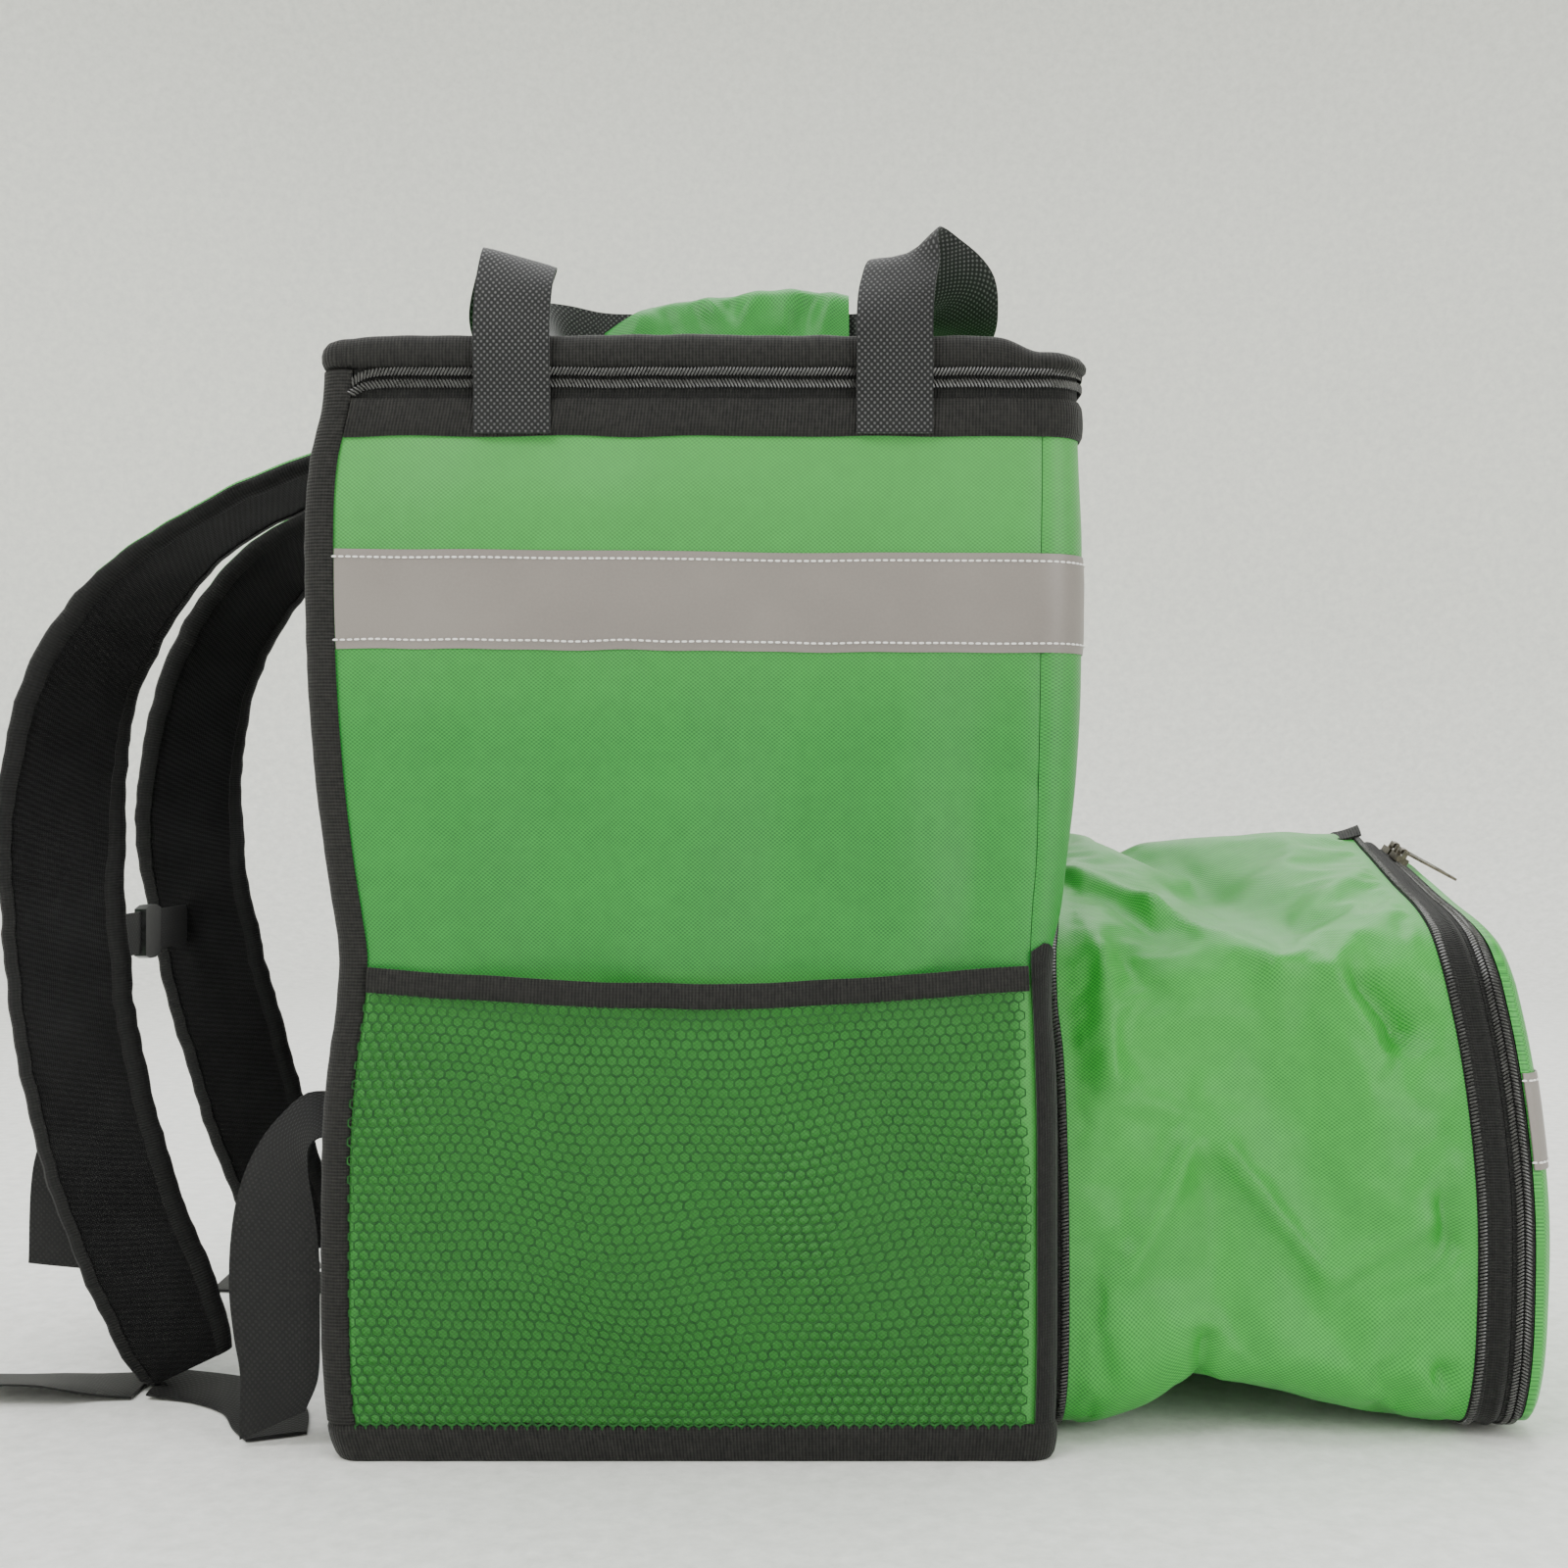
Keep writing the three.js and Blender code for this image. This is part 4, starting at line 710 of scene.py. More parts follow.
def make_stage():
    ring = 96
    profile = [(0.0, 0.0), (1.0, 0.0), (2.2, 0.0)]
    for k in range(1, 13):
        a = math.pi / 2 * k / 12
        profile.append((2.2 + 0.9 * math.sin(a), 0.9 * (1 - math.cos(a))))
    profile += [(3.1, 2.2), (3.1, 4.2)]
    verts, faces = [(0, 0, 0)], []
    for r, z in profile[1:]:
        for k in range(ring):
            a = 2 * math.pi * k / ring
            verts.append((r * math.cos(a), r * math.sin(a), z))
    for k in range(ring):
        faces.append((0, 1 + k, 1 + (k + 1) % ring))
    for i in range(len(profile) - 2):
        for k in range(ring):
            j = (k + 1) % ring
            faces.append((1 + i * ring + k, 1 + (i + 1) * ring + k, 1 + (i + 1) * ring + j, 1 + i * ring + j))
    mesh = bpy.data.meshes.new("floor")
    mesh.from_pydata(verts, [], faces)
    o = bpy.data.objects.new("floor", mesh)
    bpy.context.scene.collection.objects.link(o)
    for p in mesh.polygons:
        p.use_smooth = True
    m = Nodes("pale_paper", 0.9, specular=0.2)
    grain = m.noise(75.0, 7.0, 0.75)
    broad = m.noise(1.2, 2.0)
    fac = m.add(m.range(grain, 0.35, 0.65, 0.0, 0.7), m.spread(broad, -0.05, 0.05), clamp=True)
    split = m.node("ShaderNodeSeparateXYZ")
    m.link(m.place(), split.inputs[0])
    # painted shade: the paper is painted a little darker from the floor up the wall
    tone = m.mix(m.range(split.outputs[2], 0.0, 0.7, 0.0, 1.0), linear(254, 254, 251), linear(246, 247, 240))
    m.colour(m.mix(fac, tone, linear(222, 223, 219)))
    m.bump(grain, 0.3, 0.0008)
    mesh.materials.append(m.material)


def make_light(name, place, target, size, power):
    data = bpy.data.lights.new(name, "AREA")
    data.shape = "RECTANGLE"
    data.size, data.size_y = size
    data.energy = power
    o = bpy.data.objects.new(name, data)
    bpy.context.scene.collection.objects.link(o)
    o.location = place
    o.rotation_euler = (Vector(target) - Vector(place)).to_track_quat("-Z", "Y").to_euler()
    o.visible_camera = False


make_camera()
make_stage()
make_light("key", (-0.72, -0.92, 1.3), (0.05, -0.1, 0.32), (0.6, 0.5), 10)
make_light("fill", (1.6, -1.6, 0.95), (0.2, 0, 0.2), (1.2, 1.0), 14)
make_light("top", (0.1, 0.3, 2.7), (0, 0, 0.2), (2.2, 2.0), 66)
make_light("back", (0.9, 1.9, 1.9), (0, 0, 0.25), (1.4, 1.2), 16)
world = bpy.data.worlds.new("world")
bpy.context.scene.world = world
world.use_nodes = True
world.node_tree.nodes["Background"].inputs[0].default_value = (0.9, 0.91, 0.9, 1)
world.node_tree.nodes["Background"].inputs[1].default_value = 0.84


# ---------------------------------------------------------------- panels
def side_panel(flip):
    """A side panel whose edges turn in towards the seams."""
    cols = columns((SIDE, 0.001, 0.999, 76, flip))
    z = z_rows(WALL + 1.4, PANEL_TOP, 5.0)
    value = cols[1]
    seam = -1.3 * np.exp(-(((1 - value) * SIDE_RUN) / 2.4) ** 1.2) - 0.8 * np.exp(-((value * SIDE_RUN) / 2.4))
    a = around(cols, z, seam[None])
    if not flip:
        n = np.zeros_like(a)
        n[..., 1] = -1
        a = creased(a, n, [
            ((150, -216, 351), (175, -216, 349), 2.6, 2.2, 1.2, 1.3),
            ((152, -216, 345), (176, -216, 338), 3.2, -2.2, -1.4, 1.6),
            ((141, -216, 337), (168, -216, 326), 4.0, 1.2, 1.6, 1.6)])
    name = "far_side" if flip else "near_side"
    slab_piece(name + "_cloth", a, around(cols, z, -WALL), GREEN_PANEL_PAINTED_SHADE_AND_LIGHT, name + "_panel", sharp=38)


side_panel(False)
side_panel(True)

front_cols = columns((CORNER, 0, 1, 10, False), (FRONT, 0.015, 0.985, 76, False), (CORNER, 1, 0, 10, True))
edge = np.minimum(np.arange(96), np.arange(96)[::-1])
front_z = z_rows(WALL + 1.4, PANEL_TOP, 5.0)
front_off = -1.0 * np.exp(-edge / 0.8)[None]
slab_piece("front_cloth", around(front_cols, front_z, front_off), around(front_cols, front_z, -WALL), GREEN_PANEL_PAINTED_SHADE_AND_LIGHT,
           "front_panel", sharp=38)


def back_panel():
    """A padded back with three sewn channels."""
    cols = columns((BACK_CORNER, 0, 1, 7, True), (BACK, 0.02, 0.98, 84, False), (BACK_CORNER, 1, 0, 7, False))
    z = z_rows(WALL + 1.4, HINGE_TOP, 5.0)
    pts = around(cols, z, 0)
    y = pts[..., 1]
    puff = 0
    for low, high in ((-190, -72), (-68, 68), (72, 190)):
        t = np.clip((y - low) / (high - low), 0, 1)
        puff = puff + np.sin(math.pi * t) ** 0.55
    tall = step(24, 40, z) * step(0, 18, HINGE_TOP - 18 - z)
    cross = 1 - 0.75 * np.exp(-(((z - 300) / 5) ** 2))
    off = -2.2 + 5.2 * puff * tall * cross
    a = around(cols, z, off)
    hold = np.exp(-np.minimum(np.minimum(np.abs(y + 70), np.abs(y - 70)), np.abs(np.abs(y) - 195)) / 3.0)
    hold = np.maximum(hold, np.exp(-np.abs(z - 300) / 3.0))
    pins = np.where(hold > 0.55, 1.0, 0.0)
    pins[:2] = pins[-2:] = pins[:, :3] = pins[:, -3:] = 1
    a = settle(a, pins, swell=0.03, cap=7.0)
    slab_piece("back_padding", a, around(cols, z, -WALL), MESH, "back_panel", sharp=60)


back_panel()

# Base
base_cols = whole_columns(0.5)
base_rows = ((0.3, -6), (0.3, -0.6), (6.8, -0.4), (6.8, -6))
base_loops = np.stack([around(base_cols, z, off)[0] for z, off in base_rows])
base_uv = np.stack([np.concatenate([loop, loop[:1]])[:, :2] for loop in base_loops])
base = Shape()
base.loft(base_loops, base_uv)
base.make("base_cloth", GREEN, "base_panel")


# ---------------------------------------------------------------- bands and bindings
def soft_band(name, node, cols, low, high, thick, material, seed, crown, gap=2.2, lift=SEAM_GAP, wave=(0, 0),
              sag=0.0):
    """A band of tape that follows the outline. Its edges are rounded and waver a little."""
    count = max(4, int(round((high - low) / gap)))
    t = np.linspace(0, 1, count)[:, None]
    n = len(cols[0])
    s = np.arange(n)[None] * COLUMN_STEP
    low_z = low + wave[0] * ripple(s, 0, seed, 90) + sag
    high_z = high + wave[1] * ripple(s, 0, seed + 1, 90) + sag
    z = low_z + t * (high_z - low_z)
    round_off = 1 - (2 * t - 1) ** 8
    out = lift + thick * (0.45 + 0.55 * round_off) + crown * np.sin(math.pi * t)
    out = out + 0.25 * ripple(s, z, seed + 2, 45)
    a = around(cols, z, out)
    slab_piece(name, a, around(cols, z, lift + 0 * out), material, node)


band_cols = band_columns(1.6)
soft_band("top_binding", "top_band", band_cols, 510, 529, 2.0, BINDING, 3, 0.8, wave=(0.8, 0.5))

tape_cols = band_columns(1.4)
tape_n = len(tape_cols[0])
tape_line = np.arange(tape_n) * COLUMN_STEP
tape_lean = -2.2 * np.minimum(1, np.minimum(tape_line, tape_line[::-1]) / 350)
soft_band("reflective_band", "reflective_tape", tape_cols, 404.5, 454, 0.8, REFLECTIVE, 7, 0.25, gap=4,
          wave=(0.6, 0.6), sag=tape_lean[None])

# White topstitching near both edges of the reflective band
stitch = capsule(2.6, 0.56)
stitches = Shape()
for height, seed in ((409.0, 7), (450.0, 8)):
    s_mm = np.arange(tape_n)[None] * COLUMN_STEP
    z = height + tape_lean[None] + 0.7 * ripple(s_mm, 0, seed, 90)
    line = around(tape_cols, z, 1.45)[0]
    out = unit(around(tape_cols, z, 2.45)[0] - line)
    stitches.scatter(stitch, frames_along(line, out, STITCH_PITCH, lead=9))
stitches.make("reflective_stitching", THREAD)

# Bottom binding, open at the front where the compartment is sewn on
foot_cols = columns((FRONT, 0.02, 0.0, 3, False), (CORNER, 1, 0, 9, False), (SIDE, SEAM_END, 0, 90, False),
                    (BACK_CORNER, 0.12, 1, 6, False), (BACK, 0.97, 0.03, 70, False), (BACK_CORNER, 1, 0.12, 6, True),
                    (SIDE, 0, SEAM_END, 90, True), (CORNER, 0, 1, 9, True), (FRONT, 1.0, 0.98, 3, False))
soft_band("foot_binding", "bottom_binding", foot_cols, 0.2, 18.5, 2.1, BINDING, 11, 0.7, wave=(0, 0.8))


def back_binding(flip):
    """The binding that runs up the back seam and folds round it."""
    near = columns((BACK, 0.97, 0.985, 3, False), (BACK_CORNER, 1, 0.1, 8, False),
                   (SIDE, 0.002, 4.1 / SIDE_RUN, 4, False))
    z = z_rows(18.6, 543, 3.0)
    n = len(near[0])
    t = np.linspace(0, 1, n)[None]
    out = SEAM_GAP + 1.7 * (0.5 + 0.5 * (1 - (2 * t - 1) ** 8)) + 0.5 * np.exp(-(((t - 0.55) / 0.3) ** 2))
    out = out + 0.35 * ripple(z, t * 10, 21, 60) + 0.25 * ripple(z, t * 10, 22, 14)
    a, b = around(near, z, out), around(near, z, SEAM_GAP + 0 * out)
    if flip:
        a, b = a * [1, -1, 1], b * [1, -1, 1]
    name = "far" if flip else "near"
    slab_piece(name + "_seam_binding", a, b, BINDING, name + "_back_binding", uv=grid_uv(a)[..., ::-1])


back_binding(False)
back_binding(True)

# ---------------------------------------------------------------- lid zipper, rim and lid
zip_cols = band_columns(1.6)
soft_band("lid_zip_tape", "lid_zipper", zip_cols, 526.5, 545, 1.2, BINDING_DARK, 15, 0.2, lift=-1.4)
tooth = capsule(4.6, 0.72)
teeth = Shape()
n = len(zip_cols[0])
end_drop = 5.0 * np.exp(-np.minimum(np.arange(n), np.arange(n)[::-1]) * 5 / 9.0)
for height, tilt in ((536.2, 0.5), (542.2, -0.5)):
    z = height - end_drop[None] + 0.3 * ripple(np.arange(n)[None] * COLUMN_STEP, 0, 17, 80)
    line = around(zip_cols, z, 1.9)[0]
    out = unit(around(zip_cols, z, 2.9)[0] - line)
    teeth.scatter(tooth, frames_along(line, out, 1.75, tilt=math.pi / 2 + tilt, lead=1))
teeth.make("lid_zip_teeth", COIL)

rim_cols = whole_columns(1.6)
rim_zone, rim_value = rim_cols[:2]
rim_s = lengths(around(rim_cols, 552, 0)[0], True)[:-1]
# closeness to the two front corners and to the back
from_corner = np.select(
    [rim_zone == CORNER, rim_zone == SIDE, rim_zone == FRONT],
    [0, (1 - rim_value) * SIDE_RUN, np.minimum(rim_value, 1 - rim_value) * FRONT_RUN], FAR_AWAY)
near_corner = np.exp(-(from_corner / 16.0) ** 2)
from_back = np.select([rim_zone == SIDE, rim_zone >= BACK_CORNER], [rim_value * SIDE_RUN, 0], FAR_AWAY)
back_end = np.exp(-(from_back / 10.0) ** 2)
rim_wave = 1.0 * ripple(rim_s, 0, 31, 120) + 0.45 * ripple(rim_s, 0, 32, 30)
rim_profile = [
    # outwards, height, share of the wave
    (0.2, 544.2, 0), (2.4, 545.0, 0), (3.7, 548.5, 0.3), (3.9, 552.5, 0.6), (3.2, 556.5, 0.9),
    (1.2, 559.6, 1), (-1.8, 560.9, 1), (-5.2, 560.2, 0.8), (-7.8, 557.5, 0.6), (-8.7, 553.0, 0.3),
    (-8.7, 546.0, 0), (-4.5, 543.6, 0)]
rings = []
for out, height, share in rim_profile:
    z = height + share * rim_wave - near_corner * 7.5 * share - back_end * 2.0 * share - near_corner * 1.2
    off = out + 0.35 * ripple(rim_s, height, 33, 40) + near_corner * 0.8
    rings.append(around(rim_cols, z, off)[0])
rings = np.stack(rings, 1)
rim_v = lengths(rings[10], True)
rim_u = np.concatenate([rim_s, [rim_s[-1] + 5]])
rim_uv = np.stack(np.broadcast_arrays(rim_u[:, None], rim_v[None]), 2)
rim = Shape()
rim.tube(rings, rim_uv)
rim.make("lid_rim_binding", BINDING, "lid_rim", sharp=70)

lid_cols = whole_columns(0.7)
lid_edge = around(lid_cols, 556, -9.2)[0]
lid_middle = np.array([lid_edge[:, 0].mean(), 0, 0])
lid_loops = []
lid_rows = ((0.02, 549), (0.5, 549), (0.95, 549.5), (1, 551), (1, 554.5), (0.985, 557), (0.95, 558),
            (0.9, 557.6), (0.8, 557.2), (0.65, 557), (0.5, 557.2), (0.35, 557.4), (0.2, 557.5), (0.05, 557.6))
for share, height in lid_rows:
    loop = lid_middle + (lid_edge - lid_middle) * share
    loop[:, 2] = height + (1.0 * ripple(loop[:, 0], loop[:, 1], 41, 180) if share < 0.94 and height > 550 else 0)
    corner = np.exp(-(((loop[:, 0] - 190) / 42) ** 2) - ((np.abs(loop[:, 1]) - 206) / 42) ** 2)
    loop[:, 2] -= 6.5 * corner
    lid_loops.append(loop)
lid_loops = np.array(lid_loops)
lid_uv = np.concatenate([lid_loops, lid_loops[:, :1]], 1)[..., :2]
lid = Shape()
lid.loft(lid_loops, lid_uv)
lid_piece = lid.make("lid_cloth", GREEN, "lid_panel", sharp=50)

# ---------------------------------------------------------------- mesh pockets
pocket_top = smooth([0, 0.32, 0.5, 0.68, 1], [246, 240, 238.5, 240, 247])
POCKET_BIND = 12.5
NET_SLACK = 10.5
FOOT = 18.3


def net_off(share, up):
    slack = np.sin(math.pi * np.clip(share, 0.02, 0.98)) ** 0.7
    fold = 1 - 0.22 * np.exp(-(((share - 0.455) / 0.03) ** 2)) * step(0.5, 1.0, up)
    sag = 1 + 0.16 * np.sin(share * 17 + 1) * np.sin(math.pi * up)
    reach = 0.42 + 0.58 * step(0.7, 1.0, up) ** 2 + 0.1 * np.sin(share * 23 + up * 5)
    return 1.3 + NET_SLACK * slack * np.minimum(1, up * 3.2) * fold * sag * reach


def net_place(share, up, off, flip):
    """A place on the net: share along the side, up from the foot to the top binding."""
    top = pocket_top(share) - POCKET_BIND + 3
    inside = np.clip(np.sin(math.pi * up), 0, 1) * np.clip(np.sin(math.pi * share), 0, 1) ** 0.5
    up = up + inside * (0.022 * np.sin(share * 9 + 0.5) + 0.012 * np.sin(share * 21 + up * 6))
    share = share + inside * (0.016 * np.sin(up * 7 + share * 5) + 0.008 * np.sin(up * 15))
    z = FOOT - 4 + up * (top - FOOT + 4)
    b, s = back_at(z), seam_at(z)
    x = b + BACK_R + share * (s - b - BACK_R)
    y = -HALF - side_bulge(z) * np.sin(math.pi * np.clip(share, 0, 1)) - net_off(share, up) - off
    return np.stack([x, -y if flip else y, z], -1)


def net(flip):
    """A hexagonal net of flat yarn with a hole in each cell, open right through."""
    pitch, thick, yarn = 5.5, 0.7, 1.2
    wide, tall = 352.0, 222.0
    dx, dz = pitch, pitch * math.sqrt(3) / 2
    cols, rows = int((wide - 7) / dx), int(tall / dz)
    i, j = np.meshgrid(np.arange(cols), np.arange(rows))
    cx = 6.5 + (i + 0.5 * (j % 2)) * dx
    cz = 2 + j * dz
    cx, cz = cx.ravel(), cz.ravel()
    ang = math.radians(30) + np.arange(6) * math.pi / 3
    big, small = pitch / math.sqrt(3), pitch / math.sqrt(3) - yarn / 2 / math.cos(math.pi / 6)
    corner = np.stack([np.cos(ang), np.sin(ang)], 1)
    outer = np.stack([cx, cz], 1)[:, None] + corner * big
    inner = np.stack([cx, cz], 1)[:, None] + corner * small
    key = np.round(outer.reshape(-1, 2) * 20).astype(int)
    _, first, back = np.unique(key, axis=0, return_index=True, return_inverse=True)
    shared = outer.reshape(-1, 2)[first]
    ids = back.reshape(-1, 6)
    flat = np.concatenate([shared, inner.reshape(-1, 2)])
    inner_ids = len(shared) + np.arange(len(cx) * 6).reshape(-1, 6)
    share, up = np.clip(flat[:, 0] / wide, 0, 1), np.clip(flat[:, 1] / tall, 0, 1)
    # yarn crossings stand a little proud
    proud = np.concatenate([np.full(len(shared), 0.35), np.zeros(len(inner_ids) * 6)])
    s = Shape()
    top = s.add(net_place(share, up, thick + proud, flip))
    low = s.add(net_place(share, up, -proud * 0.6, flip))
    k, l = np.arange(6), (np.arange(6) + 1) % 6
    o1, o2, i1, i2 = ids[:, k], ids[:, l], inner_ids[:, k], inner_ids[:, l]
    upper = np.stack([top[o1], top[o2], top[i2], top[i1]], -1).reshape(-1, 4)
    lower = np.stack([low[o2], low[o1], low[i1], low[i2]], -1).reshape(-1, 4)
    hole = np.stack([top[i1], top[i2], low[i2], low[i1]], -1).reshape(-1, 4)
    # the outer border of the net
    pairs = np.stack([o1, o2], -1).reshape(-1, 2)
    seen = {}
    for a, b in pairs.tolist():
        seen[(min(a, b), max(a, b))] = seen.get((min(a, b), max(a, b)), 0) + 1
    rim_pairs = [(a, b) for a, b in pairs.tolist() if seen[(min(a, b), max(a, b))] == 1]
    border = np.array([[top[b], top[a], low[a], low[b]] for a, b in rim_pairs])
    faces = np.concatenate([upper, lower, hole, border])
    uvs = np.zeros((len(faces) * 4, 2))
    s.polygons(faces.tolist(), uvs)
    name = "far" if flip else "near"
    o = s.make(name + "_pocket_net", NET, name + "_mesh_pocket", sharp=55)
    # binding along its top
    share = np.linspace(BIND_W, SEAM_END, 90)[None]
    t = np.linspace(0, 1, 8)[:, None]
    z = pocket_top(share) - POCKET_BIND * (1 - t) + 0.5 * ripple(share * SIDE_RUN, 0, 51, 70)
    b, sm = back_at(z), seam_at(z)
    x = b + BACK_R + share * (sm - b - BACK_R)
    base = side_bulge(z) * np.sin(math.pi * share) + net_off(share, 1 + 0 * t)
    out = base + 0.6 + 1.5 * (1 - (2 * t - 1) ** 6) + 0.3 * ripple(share * SIDE_RUN, t * 12, 52, 40)
    side = 1 if flip else -1
    a = np.stack([x, side * (HALF + out), z], -1)
    c = np.stack([x, side * (HALF + base - 1.0), z], -1)
    slab_piece(name + "_net_binding", a, c, BINDING, name + "_pocket_binding")


net(False)
net(True)

# ---------------------------------------------------------------- front compartment
half = [(0, 4), (90, 4), (162, 5), (182, 11), (190, 26), (194, 60), (193, 112), (184, 168), (172, 220),
        (165, 240), (153, 257), (136, 267), (88, 281), (32, 298), (0, 306)]
near_half = np.array([(-y, z) for y, z in half], float)
far_half = np.array([(y, z) for y, z in half[1:-1]][::-1], float)
rough_loop = np.concatenate([near_half, far_half])
loop_key = lengths(np.c_[rough_loop, 0 * rough_loop[:, 0]], True)
wrapped = np.concatenate([rough_loop[-3:], rough_loop, rough_loop[:4]])
wrapped_key = np.concatenate([loop_key[-4:-1] - loop_key[-1], loop_key[:-1], loop_key[:4] + loop_key[-1]])
loop_curve = smooth(wrapped_key, wrapped, limit=True)
RING = 396
fine_loop = resample(loop_curve(np.linspace(0, loop_key[-1], 1200, endpoint=False)), RING, closed=True)
tangent = unit(np.roll(fine_loop, -1, 0) - np.roll(fine_loop, 1, 0))
loop_normal = np.stack([-tangent[:, 1], tangent[:, 0]], 1)
RY, RZ = fine_loop[:, 0], fine_loop[:, 1]
lean_at = smooth([0, 60, 110, 160, 200, 240, 260, 310], [-3, 0, 1, 0, -3, -8, -10, -12])
drop_at = smooth([0, 401, 408, 418, 430], [0, 0, 3, 8, 15])
top_share = np.clip((RZ - 235) / 70, 0, 1)
GUSSET_END = 401.0
BAND_BACK = -2.4


def ring(along, off=0.0):
    """One loop of the outer ring."""
    along = along + 0 * RY
    return np.stack([along + lean_at(RZ), RY + loop_normal[:, 0] * off,
                     RZ + loop_normal[:, 1] * off - drop_at(along) * top_share], 1)


def ring_band(name, rows, node):
    """A band of tape round the ring, from rows of distance along and outwards."""
    outer = np.stack([ring(along, off) for along, off in rows])
    inner = np.stack([ring(along, BAND_BACK) for along, off in rows])
    slab_piece(name, outer, inner, BINDING_DARK, node, wrap=True)


def body_ring(from_front, off):
    x = front_at(RZ) + from_front
    return np.stack([x, RY + loop_normal[:, 0] * off, RZ + loop_normal[:, 1] * off], 1)


# zipper half on the body and its tape round the corners
tape_rows = [(0.6, 0.4), (3.5, 0.9), (6.0, 1.0), (9.0, 0.6)]
slab_piece("body_zip_tape", np.stack([body_ring(x, off) for x, off in tape_rows]),
           np.stack([body_ring(x, -3) for x, off in tape_rows]), BINDING_DARK, "body_zipper_half", wrap=True)
long_tooth = capsule(3.8, 0.74)
ring_teeth = Shape()
line = body_ring(6.9, 1.5)
out = unit(body_ring(6.9, 2.5) - line)
ring_teeth.scatter(long_tooth, frames_along(line, out, TOOTH_PITCH, tilt=math.pi / 2 + 0.3, closed=True))
ring_teeth.make("body_zip_teeth", COIL)

for flip in (False, True):
    corner = columns((CORNER, 0, 1, 10, False), (FRONT, 0.0, 0.035, 4, False))
    top_edge = 258 - 16 * np.abs(np.linspace(-0.35, 1, 14)) ** 1.2
    t = np.linspace(0, 1, 60)[:, None]
    z = 18.4 + t * (top_edge[None] - 18.4)
    a, b = around(corner, z, 1.5), around(corner, z, 0.3)
    if flip:
        a, b = a * [1, -1, 1], b * [1, -1, 1]
    name = "far" if flip else "near"
    slab_piece(name + "_corner_tape", a, b, BINDING_DARK, name + "_zipper_tape", sharp=38)

# gusset
fold_rows = np.array([
    # share, lift, side, shoulder, roof
    (0, 0, 0, 0, 0), (0.08, 1, 1, 3, 1), (0.2, 9, 3, 9, 2), (0.33, 26, 6, 13, 4), (0.5, 22, 7, 11, 3),
    (0.65, 14, 6, 7, 2), (0.8, 7, 4, 4, 0), (0.92, 2, 2, 1, 0), (1, 0, 0, 0, 0)], float)
fold_at = smooth(fold_rows[:, 0], fold_rows[:, 1:])
GUSSET_ROWS = 68
share = np.linspace(0, 1, GUSSET_ROWS)[:, None]
f = fold_at(share[:, 0])
lift, side, shoulder, roof = (f[:, k:k + 1] for k in range(4))
start = front_at(RZ) + 9.3
end = GUSSET_END + lean_at(RZ)
gx = start + share * (end - start)
lift = lift * np.clip(1 - RZ / 85, 0, None) ** 1.2
side = side * np.sin(math.pi * np.minimum(1, RZ / 260)) * np.sign(RY) * step(120, 175, np.abs(RY))
shoulder = shoulder * np.clip((RZ + 30 - 235) / 70, 0, 1) * np.exp(-(((np.abs(RY) - 140) / 45) ** 2))
roof = roof * top_share * np.exp(-((RY / 90) ** 2))
gusset_base = np.stack([gx, RY - side, RZ + lift - shoulder - roof], -1)
gusset_normal = np.broadcast_to(np.column_stack([0 * RY, loop_normal]), gusset_base.shape)
